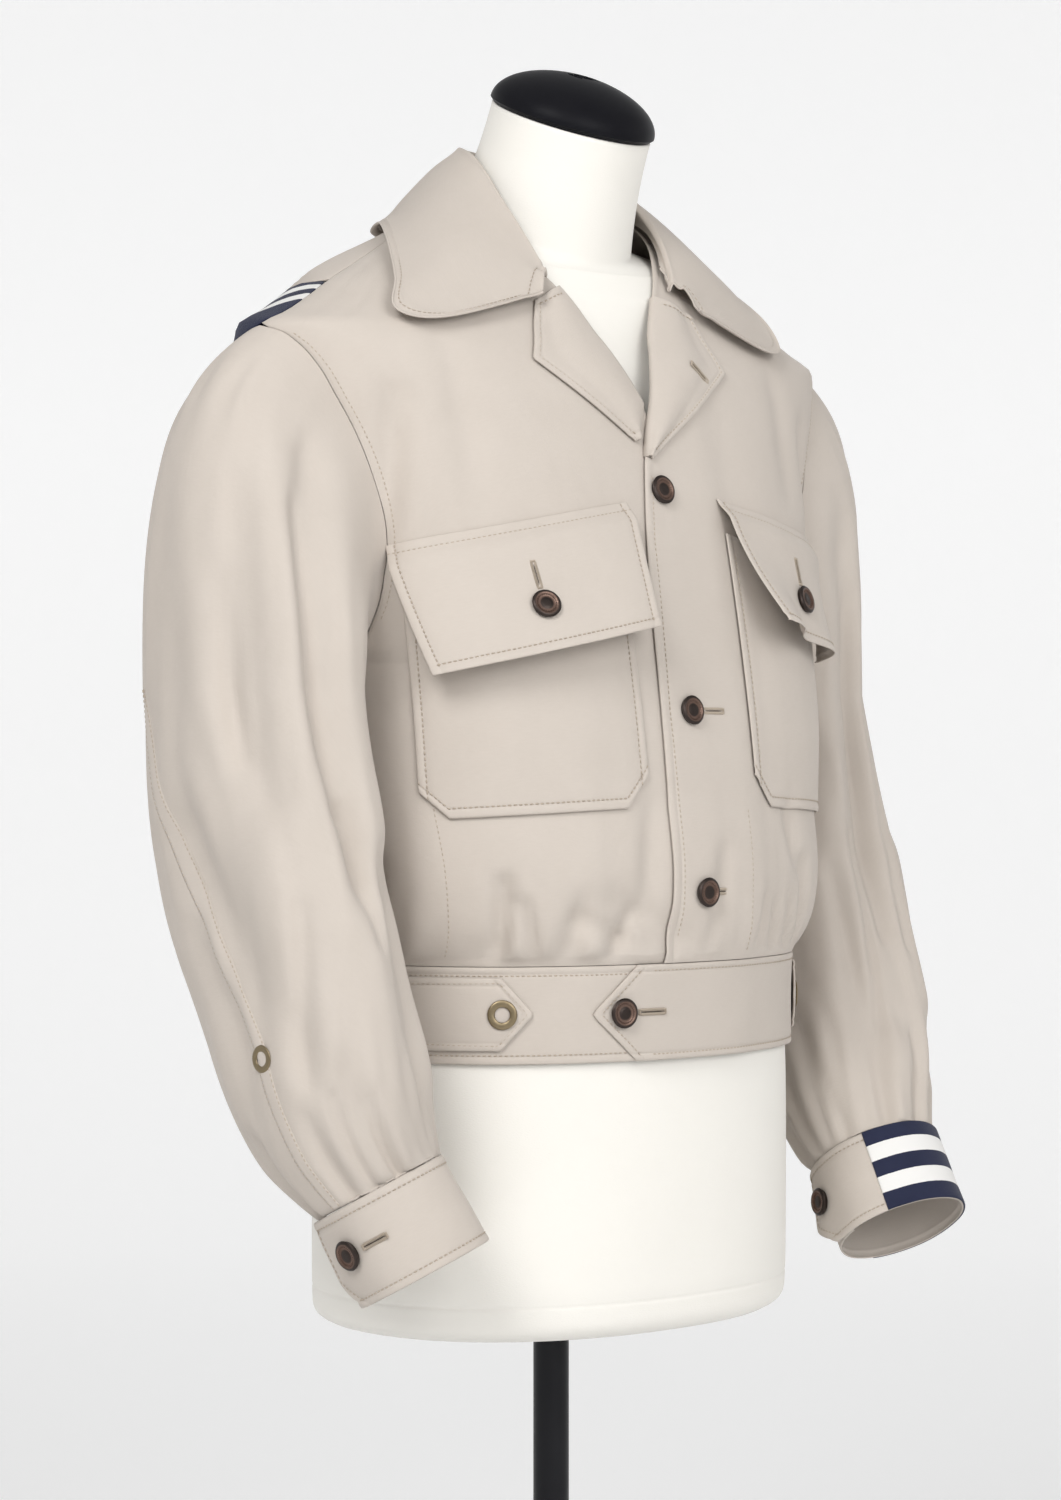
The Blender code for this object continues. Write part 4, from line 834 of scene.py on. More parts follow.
@lru_cache(maxsize=None)
def sleeve_frame(side, along):
    """Centre, axis, outer and front directions, half width and depth below the armhole."""
    rows = SLEEVE_SECTIONS[side]
    lengths = [0.0]
    for first, second in zip(rows, rows[1:]):
        lengths.append(lengths[-1] + (Vector(second[:3]) - Vector(first[:3])).length)
    keys = [length / lengths[-1] for length in lengths]

    def read(name, at):
        values = [row[SLEEVE_COLUMNS.index(name)] for row in rows]
        return smooth_read(keys, values, tangents_of(keys, values), at)

    centre = Vector([read(name, along) for name in "xyz"])
    low, high = max(along - 0.06, 0.0), min(along + 0.06, 1.0)
    axis = Vector([read(name, high) - read(name, low) for name in "xyz"]).normalized()
    level = Vector((0.0, 0.0, -1.0))
    axis = level.lerp(axis, ease(along, 0.0, 0.5)).normalized()
    outer, front = square_to(side, axis)
    return centre, axis, outer, front, read("half_width", along), read("half_depth", along)


def ring_offset(turn, outer, front, half_width, half_depth, roundness):
    across, ahead = math.cos(math.radians(turn)), math.sin(math.radians(turn))
    wide = half_width * math.copysign(abs(across) ** roundness, across)
    deep = half_depth * math.copysign(abs(ahead) ** roundness, ahead)
    return outer * wide + front * deep


def sleeve_point(side, turn, along, lift=0.0):
    """The sleeve's outer face; along is 0 at the armhole and 1 at the cuff seam."""
    below = max((along - SLEEVE_CAP_SHARE) / (1 - SLEEVE_CAP_SHARE), 0.0)
    centre, axis, outer, front, half_width, half_depth = sleeve_frame(side, below)
    offset = ring_offset(turn, outer, front, half_width, half_depth, SLEEVE_ROUND)
    ring = centre + offset
    outward = offset.normalized()
    fold = trough(SLEEVE_FOLDS[side], turn, along, SLEEVE_FOLD_LENGTH, turns=True)
    at_cuff = ease(along, SLEEVE_CUFF_FROM, 1.0)
    ring = ring.lerp(cuff_rim(side, turn), at_cuff)
    fold *= 1.0 - at_cuff
    if along >= SLEEVE_CAP_SHARE:
        return ring + outward * (lift - fold)
    t = along / SLEEVE_CAP_SHARE
    rim = armhole_point(side, turn)
    top = (1 + math.cos(math.radians(turn))) / 2
    leave = Vector((SIDES[side] * (0.55 + 0.35 * top), 0.0, -0.55 - 0.25 * (1 - top)))
    leave += outward * 0.25 * math.sin(math.radians(turn)) ** 2
    leave.normalize()
    drop = (rim - ring).length
    rim = rim + Vector((SIDES[side] * SEAM_GAP * 0.3, 0.0, 0.0))
    first = rim + leave * drop * SLEEVE_CAP_REACH[side]
    second = ring - axis * drop * (0.36 + 0.10 * top)
    point = (
        rim * (1 - t) ** 3
        + first * 3 * t * (1 - t) ** 2
        + second * 3 * t**2 * (1 - t)
        + ring * t**3
    )
    return point + outward * (lift - fold) * ease(t, 0.0, 0.35)


# Cuffs: turn where the under end starts, and where the pointed top end stops
CUFF_START = {"right": 11.0, "left": 189.0}
CUFF_OVERLAP = 46.0
CUFF_STAND = {"right": 0.004, "left": 0.012}
CUFF_CHAMFER = 26.0
CUFF_DIRECTION = {"right": -1.0, "left": 1.0}


@lru_cache(maxsize=None)
def cuff_frame(side):
    axis = Vector(CUFF_AXIS[side]).normalized()
    return Vector(CUFF_CENTRE[side]), axis, *square_to(side, axis)


def cuff_rim(side, turn):
    """Where the sleeve ends, a seam's gap above the cuff's top edge."""
    centre, axis, outer, front = cuff_frame(side)
    return centre - axis * 2 * SEAM_GAP + ring_offset(turn, outer, front, *CUFF_HALF, 1.0)


def cuff_point(side, travel, down, lift=0.0):
    """travel is degrees from the under end, down is metres from the cuff's top edge."""
    centre, axis, outer, front = cuff_frame(side)
    turn = CUFF_START[side] + CUFF_DIRECTION[side] * travel
    rise = (LAYER + 0.0003) * ease(travel, 300.0, 352.0)
    flap = ease(travel, 362.0, 360.0 + CUFF_OVERLAP) ** 1.5
    rise += CUFF_STAND[side] * flap * (0.15 + 0.85 * down / CUFF_HEIGHT)
    flare = 0.0012 * down / CUFF_HEIGHT
    half_width, half_depth = CUFF_HALF
    offset = ring_offset(turn, outer, front, half_width + flare, half_depth + flare, 1.0)
    return centre + axis * down + offset + offset.normalized() * (rise + lift)


# The left cuff's striped facing lies on the cuff, over this stretch of travel
STRIPE_FROM = 100.0
STRIPE_TO = 321.0
FRONT_BUTTONS = (1.0750, 0.9260, 0.8050)
BAND_BUTTON = -0.062
BAND_BUTTON_Z = 0.7265
FLAP_BUTTON = {"right": (0.50, 0.66), "left": (0.50, 0.66)}
CUFF_BUTTON = {"right": (366.0, 0.028), "left": (384.0, 0.028)}
EYELET_SIZES = {"tab": (0.0098, 0.0050), "sleeve": (0.0088, 0.0045)}
SLEEVE_EYELET = {"right": (9.0, 0.804), "left": (2.0, 0.800)}


def surface_normal(place, u, v, outside, step_u=0.01, step_v=0.01):
    """The unit normal of a surface function, turned to the outside."""
    across = place(u + step_u, v) - place(u - step_u, v)
    along = place(u, v + step_v) - place(u, v - step_v)
    normal = across.cross(along).normalized()
    return normal if normal.dot(outside) > 0 else -normal


class Graph:
    """A material's node tree; node() adds any node and gives its outputs as values."""

    def __init__(self, name):
        self.material = bpy.data.materials.new(name)
        self.material.use_nodes = True
        self.tree = self.material.node_tree
        self.tree.nodes.clear()

    def node(self, kind, settings=None, **sockets):
        """Adds a node, sets its settings first, then the values or links of its sockets."""
        made = self.tree.nodes.new(kind)
        for name, value in (settings or {}).items():
            if name == "stops":
                self.set_stops(made.color_ramp, value)
            else:
                setattr(made, name, value)
        for name, value in sockets.items():
            key = name.replace("_", " ")
            socket = made.inputs[int(key[2:]) if key.startswith("at") else key]
            if isinstance(value, Value):
                self.tree.links.new(value.socket, socket)
            else:
                socket.default_value = value
        return made

    def set_stops(self, ramp, stops):
        while len(ramp.elements) < len(stops):
            ramp.elements.new(0.5)
        for element, (place, colour) in zip(ramp.elements, stops):
            element.position = place
            element.color = colour

    def value(self, made, output=0):
        return Value(self, made.outputs[output])

    def maths(self, operation, *values):
        sockets = {f"at{i}": value for i, value in enumerate(values)}
        made = self.node("ShaderNodeMath", {"operation": operation}, **sockets)
        return self.value(made)

    def mix(self, factor, first, second):
        """Mixes two colours by a factor."""
        settings = {"data_type": "RGBA"}
        made = self.node("ShaderNodeMix", settings, at0=factor, at6=first, at7=second)
        return self.value(made, 2)

    def noise(self, place, scale, detail=3.0, roughness=0.5):
        made = self.node(
            "ShaderNodeTexNoise", Vector=place, Scale=scale, Detail=detail, Roughness=roughness
        )
        return self.value(made)

    def stretched(self, place, scale):
        made = self.node("ShaderNodeMapping", Vector=place, Scale=scale)
        return self.value(made)

    def object_place(self):
        return self.value(self.node("ShaderNodeTexCoord"), "Object")

    def cloth_place(self):
        """The piece's own UV map, which holds metres across and along the cloth."""
        return self.value(self.node("ShaderNodeUVMap", {"uv_map": "cloth"}))

    def across(self, place):
        return self.value(self.node("ShaderNodeSeparateXYZ", Vector=place), 0)

    def along(self, place):
        return self.value(self.node("ShaderNodeSeparateXYZ", Vector=place), 1)

    def bump(self, height, distance, strength=1.0):
        made = self.node(
            "ShaderNodeBump", Height=height, Distance=distance, Strength=strength
        )
        return self.value(made)

    def surface(self, **sockets):
        """The material's Principled shader and its output."""
        shader = self.node("ShaderNodeBsdfPrincipled", **sockets)
        self.node("ShaderNodeOutputMaterial", Surface=self.value(shader))
        return self.material


class Value:
    """A socket that can be used in sums."""

    def __init__(self, graph, socket):
        self.graph = graph
        self.socket = socket

    def __add__(self, other):
        return self.graph.maths("ADD", self, other)

    __radd__ = __add__

    def __sub__(self, other):
        return self.graph.maths("SUBTRACT", self, other)

    def __rsub__(self, other):
        return self.graph.maths("SUBTRACT", other, self)

    def __mul__(self, other):
        return self.graph.maths("MULTIPLY", self, other)

    __rmul__ = __mul__

    def __truediv__(self, other):
        return self.graph.maths("DIVIDE", self, other)

    def __gt__(self, other):
        return self.graph.maths("GREATER_THAN", self, other)

    def clamped(self):
        return self.graph.maths("MINIMUM", self.graph.maths("MAXIMUM", self, 0.0), 1.0)

    def wave(self):
        return self.graph.maths("SINE", self)


def opaque(colour):
    return (*colour[:3], 1.0)


MATERIALS = {}


def twill(graph, place):
    """Height of the twill's fine diagonal ribs, with a little unevenness in the yarns."""
    ribs = (graph.across(place) + graph.along(place) * 1.6) * (2 * math.pi / TWILL_PITCH)
    uneven = graph.noise(graph.stretched(place, (900.0, 900.0, 900.0)), 1.0, 2.0)
    return ribs.wave() * 0.5 + uneven * 1.2


def cloth_material(name, colour, pale):
    """Matt cotton: twill ribs, soft mottling, and paler yarn mixed in at random."""
    graph = Graph(name)
    place = graph.cloth_place()
    mottle = graph.noise(graph.object_place(), 26.0, 4.0, 0.6)
    slubs = graph.noise(graph.stretched(place, (160.0, 900.0, 1.0)), 1.0, 2.0)
    height = twill(graph, place)
    amount = (mottle * 0.6 + slubs * 0.4 - 0.18) * 0.9
    shade = graph.mix(amount.clamped(), opaque(colour), opaque(pale))
    crumple = graph.noise(graph.object_place(), 95.0, 3.0, 0.55)
    normal = graph.bump(height * 0.00010 + crumple * 0.0005, 1.0, 0.55)
    return graph.surface(
        Base_Color=shade,
        Roughness=0.86 + mottle * 0.08,
        Sheen_Weight=0.12,
        Sheen_Roughness=0.45,
        Specular_IOR_Level=0.18,
        Normal=normal,
    )


def striped_material(name, white, navy, pitch, count, along):
    """Woven bands measured from the cloth's edge; past the last one it stays navy."""
    graph = Graph(name)
    place = graph.cloth_place()
    reach = graph.along(place) if along else graph.across(place)
    ragged = graph.noise(graph.stretched(place, (1500.0, 1500.0, 1.0)), 1.0, 1.0)
    band = (reach + (ragged - 0.5) * 0.0006) / pitch
    odd = graph.maths("FLOOR", band)
    odd = odd - graph.maths("FLOOR", odd * 0.5) * 2.0
    past = band > float(count)
    is_white = odd * (1.0 - past)
    mottle = graph.noise(graph.object_place(), 30.0, 3.0, 0.6)
    lighter = tuple(min(c * 1.5 + 0.004, 1.0) for c in navy)
    dark = graph.mix(mottle, opaque(navy), opaque(lighter))
    shade = graph.mix(is_white, dark, opaque(white))
    normal = graph.bump(twill(graph, place) * 0.00010, 1.0, 0.55)
    return graph.surface(
        Base_Color=shade,
        Roughness=0.84 + mottle * 0.08,
        Sheen_Weight=0.10,
        Specular_IOR_Level=0.18,
        Normal=normal,
    )


def jersey_material(name, colour):
    graph = Graph(name)
    place = graph.object_place()
    knit = graph.noise(graph.stretched(place, (700.0, 700.0, 1600.0)), 1.0, 2.0)
    mottle = graph.noise(place, 9.0, 3.0)
    darker = tuple(c * 0.955 for c in colour)
    shade = graph.mix(mottle, opaque(darker), opaque(colour))
    return graph.surface(
        Base_Color=shade,
        Roughness=0.88 + knit * 0.06,
        Sheen_Weight=0.15,
        Specular_IOR_Level=0.2,
        Normal=graph.bump(knit * 0.00025, 1.0, 0.5),
    )


def satin_material(name, colour, roughness, metallic=0.0, grain=0.00003, gloss=0.5):
    """Smooth hard finish with faint dust and handling marks in its roughness."""
    graph = Graph(name)
    place = graph.object_place()
    marks = graph.noise(place, 38.0, 4.0, 0.62)
    fine = graph.noise(place, 1400.0, 2.0)
    dusty = tuple(c + 0.004 for c in colour)
    return graph.surface(
        Base_Color=graph.mix(marks, opaque(colour), opaque(dusty)),
        Roughness=roughness + marks * 0.12,
        Metallic=metallic,
        Specular_IOR_Level=gloss,
        Normal=graph.bump(fine * grain, 1.0, 0.5),
    )


def button_material(name, centre, ring, rim):
    """Dark bronze with a worn coppery ring; the UV map holds the place from the middle."""
    graph = Graph(name)
    place = graph.cloth_place()
    length = graph.node("ShaderNodeVectorMath", {"operation": "LENGTH"}, at0=place)
    radius = graph.value(length, "Value") / BUTTON_RADIUS
    worn = graph.noise(graph.object_place(), 420.0, 4.0, 0.7)
    reach = radius + (worn - 0.5) * 0.08
    stops = (
        (0.0, opaque(centre)),
        (0.40, opaque(centre)),
        (0.50, opaque(ring)),
        (0.74, opaque(ring)),
        (0.84, opaque(rim)),
        (1.0, opaque(rim)),
    )
    colours = graph.node("ShaderNodeValToRGB", {"stops": stops}, at0=reach)
    tarnish = graph.mix(worn * 0.35, graph.value(colours), opaque(TARNISH))
    return graph.surface(
        Base_Color=tarnish,
        Metallic=0.85,
        Roughness=0.30 + worn * 0.22,
        Normal=graph.bump(worn * 0.00012, 1.0, 0.6),
    )


def finish_of(name):
    """The finish by its plain name, made once."""
    if name not in MATERIALS:
        colours = bpy.context.scene.jacket_colours
        cotton, pale = tuple(colours.cotton), tuple(colours.cotton_pale)
        makers = {
            "cotton": lambda: cloth_material("beige cotton twill", cotton, pale),
            "thread": lambda: satin_material(
                "beige thread", tuple(colours.thread), 0.75, grain=0.0001, gloss=0.2
            ),
            # painted shade in the buttonholes' cuts
            "painted_slit_shade": lambda: satin_material("buttonhole shadow", PAINTED_SLIT_SHADE, 0.85, gloss=0.1),
            "shoulder_stripes": lambda: striped_material(
                "navy and white stripes", tuple(colours.white), tuple(colours.navy),
                STRIPE_PITCH, 4, False,
            ),
            "cuff_stripes": lambda: striped_material(
                "navy and white cuff stripes", tuple(colours.white), tuple(colours.navy),
                CUFF_STRIPE_PITCH, 5, True,
            ),
            "jersey": lambda: jersey_material("cream jersey", tuple(colours.form)),
            "cap_black": lambda: satin_material(
                "black satin cap", tuple(colours.black), 0.34, gloss=0.05
            ),
            "stand_black": lambda: satin_material(
                "black powder coat", tuple(colours.black), 0.30, gloss=0.18
            ),
            "button": lambda: button_material(
                "dark bronze and copper", tuple(colours.bronze), tuple(colours.copper),
                tuple(colours.bronze),
            ),
            "eyelet": lambda: satin_material(
                "antique brass", tuple(colours.brass), 0.32, 0.9, 0.0001
            ),
        }
        MATERIALS[name] = makers[name]()
    return MATERIALS[name]


def add_object(name, data):
    made = bpy.data.objects.new(name, data)
    bpy.context.scene.collection.objects.link(made)
    return made


def mesh_object(name, points, faces, finish):
    """A smooth mesh in one finish, linked to the scene."""
    mesh = bpy.data.meshes.new(name)
    mesh.from_pydata(points, [], faces)
    mesh.materials.append(finish_of(finish))
    mesh.shade_smooth()
    return add_object(name, mesh)


def make_active(piece):
    bpy.ops.object.select_all(action="DESELECT")
    piece.select_set(True)
    bpy.context.view_layer.objects.active = piece


def grid_lines(length, step, start_hem, end_hem):
    """Distances along an edge: close together at hems and their stitching, even between."""
    low = [d for d in HEM_LINES if start_hem and d < length * 0.4]
    high = [length - d for d in HEM_LINES if end_hem and d < length * 0.4]
    first, last = (low[-1] if low else 0.0), (high[-1] if high else length)
    count = max(int(round((last - first) / step)), 2)
    middle = [first + (last - first) * i / count for i in range(count + 1)]
    return sorted(set(round(d / length, 6) for d in [*low, *middle, *high]))


def hem_lift(distance, inset):
    """A free edge: its rounded fold, and the groove that the topstitching pulls in."""
    lift = 0.0
    if distance < HEM_ROUND:
        lift -= HEM_DROP * (1 - math.sqrt(max(1 - (1 - distance / HEM_ROUND) ** 2, 0.0)))
    if inset:
        lift -= STITCH_DEPTH * math.exp(-(((distance - inset) / 0.0011) ** 2))
        lift += 0.00025 * math.exp(-(((distance - inset * 0.5) / 0.0022) ** 2))
    return lift


def seam_lift(distance):
    """A sewn seam: the cloth dips to it over a few millimetres."""
    return -0.0004 * math.exp(-((distance / 0.0016) ** 2))


def edge_lift(kinds, distances):
    """The sum of what the four edges do to the cloth; a kind is hem, seam, fold or None."""
    total = 0.0
    for kind, distance in zip(kinds, distances):
        if kind == "hem":
            total += hem_lift(distance, HEM_INSET)
        elif kind == "fold":
            total += hem_lift(distance, 0.0)
        elif kind == "seam":
            total += seam_lift(distance)
    return total


def row_length(place, v, samples=9):
    points = [place(i / (samples - 1), v) for i in range(samples)]
    return sum((b - a).length for a, b in zip(points, points[1:]))


def column_length(place, u, samples=9):
    points = [place(u, i / (samples - 1)) for i in range(samples)]
    return sum((b - a).length for a, b in zip(points, points[1:]))


def cloth_points(place, step, kinds, closed=False):
    """The grid of a piece: place(u, v, lift) at lines that suit its hems.

    kinds are its edges at u = 0, u = 1, v = 0 and v = 1.
    """
    width = max(row_length(place, v) for v in (0.1, 0.5, 0.9))
    length = max(column_length(place, u) for u in (0.1, 0.5, 0.9))
    us = grid_lines(width, step, bool(kinds[0]), bool(kinds[1]))
    vs = grid_lines(length, step, bool(kinds[2]), bool(kinds[3]))
    widths = {v: row_length(place, v, 5) for v in vs}
    points = []
    for v in vs:
        row = []
        for u in us:
            distances = (u * widths[v], (1 - u) * widths[v], v * length, (1 - v) * length)
            row.append(place(u, v, edge_lift(kinds, distances)))
        points.append(row)
    grid = np.array([[tuple(point) for point in row] for row in points])
    if closed:
        grid[:, -1] = grid[:, 0]
    return grid


def grid_object(name, grid, finish, outward, closed=False):
    """An open surface from a grid of points, facing outward, with its cloth UV map."""
    rows, columns = grid.shape[:2]
    steps_u = np.linalg.norm(np.diff(grid, axis=1), axis=2)
    steps_v = np.linalg.norm(np.diff(grid, axis=0), axis=2)
    across = np.concatenate([np.zeros((rows, 1)), np.cumsum(steps_u, axis=1)], axis=1)
    along = np.concatenate([np.zeros((1, columns)), np.cumsum(steps_v, axis=0)], axis=0)
    count = columns - 1 if closed else columns
    faces, places = [], []
    for r in range(rows - 1):
        for c in range(columns - 1):
            corners = ((r, c), (r, c + 1), (r + 1, c + 1), (r + 1, c))
            faces.append([i * count + (j % count if closed else j) for i, j in corners])
            places.append([(across[i, j], along[i, j]) for i, j in corners])
    row, column = rows // 2, columns // 2
    middle = grid[row, column]
    normal = np.cross(grid[row, column + 1] - middle, grid[row + 1, column] - middle)
    if float(np.dot(normal, np.array(outward(Vector(middle))))) < 0:
        faces = [face[::-1] for face in faces]
        places = [place[::-1] for place in places]
    points = [tuple(p) for p in grid[:, :count].reshape(-1, 3)]
    piece = mesh_object(name, points, faces, finish)
    layer = piece.data.uv_layers.new(name="cloth")
    layer.data.foreach_set("uv", [x for quad in places for uv in quad for x in uv])
    return piece, float(across[:, -1].max()), float(along[-1].max())


def settle(piece, slot, stands_for=None):
    """Fixes a finished piece to the body and hides the solid that it stands for."""
    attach(piece, BODY)
    if stands_for:
        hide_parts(stands_for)
    return piece


def make_cloth(name, place, kinds, outward, finish="cotton",
               slot="cotton", step=0.005, closed=False, wall=None, pointed=False,
               alone=False):
    """A whole sheet: grid, wall and finish.

    It stands for the solid of its name unless it is alone. The length of a pointed piece
    is measured across its middle.
    """
    stands_for = None if alone else name
    if stands_for:
        name += "_cloth"
    grid = cloth_points(place, step, kinds, closed)
    piece, width, length = grid_object(name, grid, finish, outward, closed)
    if pointed:
        length = column_length(place, 0.5)
    area = sum(face.area for face in piece.data.polygons)
    thick = piece.modifiers.new("wall", "SOLIDIFY")
    thick.thickness = wall or bpy.context.scene.jacket_sizes.cloth_wall
    thick.offset = -1.0
    thick.use_even_offset = False
    make_active(piece)
    bpy.ops.object.modifier_apply(modifier=thick.name)
    settle(piece, slot, stands_for)
    if area > width * length:
        width = area / length * 1.0001


def from_axis(point):
    """Straight away from the body's upright axis."""
    return Vector((point.x, point.y - 0.02, 0.0))


def gathers(arc, z):
    """Small uneven pleats where the body is gathered into the waistband."""
    above = max(z - BAND_TOP, 0.0)
    ripple = noise.noise(Vector((arc * 42.0, z * 2.0, 3.0)))
    finer = noise.noise(Vector((arc * 95.0, z * 3.0, 7.0)))
    size = 0.0050 * math.exp(-above / 0.030) + 0.0018 * math.exp(-above / 0.090)
    return (ripple + 0.35 * finer) * size * ease(above, 0.0, 0.006)


def drape(arc, z):
    """The slack of the body's cloth: broad soft waves that fade at the shoulders."""
    slack = ease(z, 1.190, 1.060)
    broad = noise.noise(Vector((arc * 9.0, z * 5.5, 11.0)))
    narrow = noise.noise(Vector((arc * 24.0, z * 10.0, 17.0)))
    return (broad * 0.0022 + narrow * 0.0011) * slack


def cloth_lift(arc, z):
    """How far the body's outer cloth stands off its section."""
    folds = trough(BODY_FOLDS, arc, z) * 1.9 + trough(FINE_FOLDS, arc, z) * 2.2
    strength = bpy.context.scene.jacket_sizes.fold_strength
    above_band = ease(z, BAND_TOP, BAND_TOP + 0.012)
    return (gathers(arc, z) + drape(arc, z) - folds) * strength * above_band


def row_height(v):
    """The level of a panel's row, v from 0 at the band to 1 at the neck."""
    return PANEL_LOW + (NECK_TOP - PANEL_LOW) * v


def back_edge(z):
    """Where the plain middle of the back ends, at its strip or the shoulder seam."""
    if z > STRIP_TOP + SEAM_GAP:
        return 90.0 + 2 * seam_step(z)
    return strip_inner_angle(z) + seam_step(z) * (2.0 + 4.0 * ease(z, 1.184, 1.210))


def make_front(side):
    sign = SIDES[side]

    def place(u, v, lift=0.0):
        z = row_height(v)
        inner = angle_at_x(roll_x(side, z), z)
        outer = sign * (front_outer_angle(z) - seam_step(z))
        start, end = arc_at_angle(inner, z), arc_at_angle(outer, z)
        return front_point(side, start + (end - start) * u, z, lift)

    return make_cloth(
        "front_" + side, place, ("hem", "seam", "seam", "seam"),
        from_axis,
    )


def make_back():
    def place(u, v, lift=0.0):
        z = row_height(v)
        edge = back_edge(z)
        return panel_point(edge + (360.0 - 2 * edge) * u, z, lift)

    return make_cloth(
        "back", place, ("seam", "seam", "seam", "seam"),
        from_axis,
    )


def make_strip(side):
    sign = SIDES[side]
    top = (STRIP_TOP - PANEL_LOW) / (NECK_TOP - PANEL_LOW)

    def place(u, v, lift=0.0):
        z = row_height(v * top)
        inner, outer = strip_inner_angle(z), strip_outer_angle(z) + seam_step(z)
        return panel_point(sign * (inner + (outer - inner) * u), z, lift)

    return make_cloth(
        "back_strip_" + side, place, ("seam", "seam", "seam", None),
        from_axis, finish="shoulder_stripes",
        slot="striped_cotton",
    )


def band_place(u, v, lift=0.0):
    """The waistband from its under end, round the wearer's right and back, to its point."""
    z = BAND_BOTTOM + (BAND_TOP - BAND_BOTTOM) * v
    half = float(arcs_at(z)[-1])
    reach = 1 - abs(2 * v - 1)
    end = -(BAND_SHOULDER + (BAND_POINT - BAND_SHOULDER) * min(reach * 1.04, 1.0))
    start = -BAND_UNDER_END
    arc = start + (2 * half + end - start) * u
    over = (LAYER + 0.0003) * ease(arc, 2 * half - 0.075, 2 * half - 0.040)
    wave = 0.0007 * noise.noise(Vector((arc * 30.0, z * 20.0, 5.0)))
    return band_point(-arc, z, over + lift + wave)


def make_band():
    return make_cloth(
        "waistband", band_place, ("hem", "hem", "hem", "hem"), from_axis,
        pointed=True,
    )


def tab_place(side, u, v, lift=0.0):
    sign = SIDES[side]
    z = TAB_MIDDLE + TAB_HEIGHT * (v - 0.5)
    tip = TAB_TIP * (1 - min((1 - abs(2 * v - 1)) * 1.04, 1.0))
    arc = TAB_POINT[side] + sign * (tip + (TAB_LENGTH - tip) * u)
    return band_point(arc, z, LAYER + CLEAR + lift)


def make_tab(side):
    return make_cloth(
        "side_tab_" + side, partial(tab_place, side),
        ("hem", "seam", "hem", "hem"), from_axis, step=0.004,
        pointed=True,
    )


def pocket_place(side, u, v, lift=0.0):
    """A patch pocket whose lower corners are cut off."""
    sign = SIDES[side]
    inner, outer = POCKET_INNER[side], POCKET_OUTER[side]
    width, height = outer - inner, POCKET_TOP - POCKET_BOTTOM
    cut = POCKET_CHAMFER[0] / width
    corner = max(1 - u / cut, 1 - (1 - u) / cut, 0.0) * POCKET_CHAMFER[1] / height
    rise = corner + (1 - corner) * v
    fall = POCKET_BOTTOM_FALL + (POCKET_TOP_FALL - POCKET_BOTTOM_FALL) * rise
    z = POCKET_BOTTOM + height * rise - fall * u
    belly = pocket_bulge(u, rise) * 1.2
    return front_point(side, sign * (inner + width * u), z, POCKET_LIFT + belly + lift)


def make_pocket(side):
    return make_cloth(
        "pocket_" + side, partial(pocket_place, side),
        ("hem", "hem", "hem", None), from_axis, step=0.004,
    )


def flap_place(side, u, v, lift=0.0):
    ripple = 0.0016 * noise.noise(Vector((u * 4.2, v * 1.5, 21.0 + SIDES[side]))) * v
    return flap_point(side, u, v, lift + ripple)


def make_flap(side):
    return make_cloth(
        "flap_" + side, partial(flap_place, side),
        ("hem", "hem", "seam", "hem"), from_axis, step=0.004,
    )


def lapel_place(side, u, v, lift=0.0):
    """The turned-back lapel; below u = 0 it rolls round to the front's own edge."""
    if u >= 0.0:
        swell = 0.0012 * math.sin(math.pi * u) * math.sin(math.pi * v)
        return lapel_point(side, u, v, lift + swell)
    start, ahead = lapel_point(side, 0.0, v), lapel_point(side, 0.04, v)
    inward = (start - ahead).normalized()
    out = (lapel_point(side, 0.0, v, 0.01) - start).normalized()
    turn = -u / LAPEL_ROLL_SHARE * math.pi
    return start + inward * LAPEL_ROLL * math.sin(turn) - out * LAPEL_ROLL * (1 - math.cos(turn))


def make_lapel(side):
    def place(u, v, lift=0.0):
        across = u * (1 + LAPEL_ROLL_SHARE) - LAPEL_ROLL_SHARE
        return lapel_place(side, across, v, lift if across > 0.1 else 0.0)

    return make_cloth(
        "lapel_" + side, place, (None, "hem", "hem", "hem"), from_axis,
        step=0.0030,
    )


def collar_place(u, v, lift=0.0):
    point = collar_point(u, v)
    step = 0.01
    around = collar_point(min(u + step, 1.0), v) - collar_point(max(u - step, 0.0), v)
    along = collar_point(u, min(v + step, 1.0)) - collar_point(u, max(v - step, 0.0))
    normal = along.cross(around).normalized()
    leaf = ease(v, 0.55, 0.95) * ease(u, 0.0, 0.08) * ease(u, 1.0, 0.92)
    wave = 0.0022 * noise.noise(Vector((u * 7.0, v * 2.0, 31.0))) * leaf
    return point + normal * (lift + wave)


def make_collar():
    def outward(point):
        return Vector((point.x, point.y - 0.02, 0.06))

    return make_cloth(
        "collar", collar_place, ("hem", "hem", "seam", "hem"), outward,
        step=0.0042,
    )


def sleeve_seam_turn(along):
    """How far round the sleeve its double-stitched seam runs."""
    turns = [row[1] for row in SLEEVE_SEAM]
    shares = [row[0] for row in SLEEVE_SEAM]
    return float(np.interp(along, shares, turns))


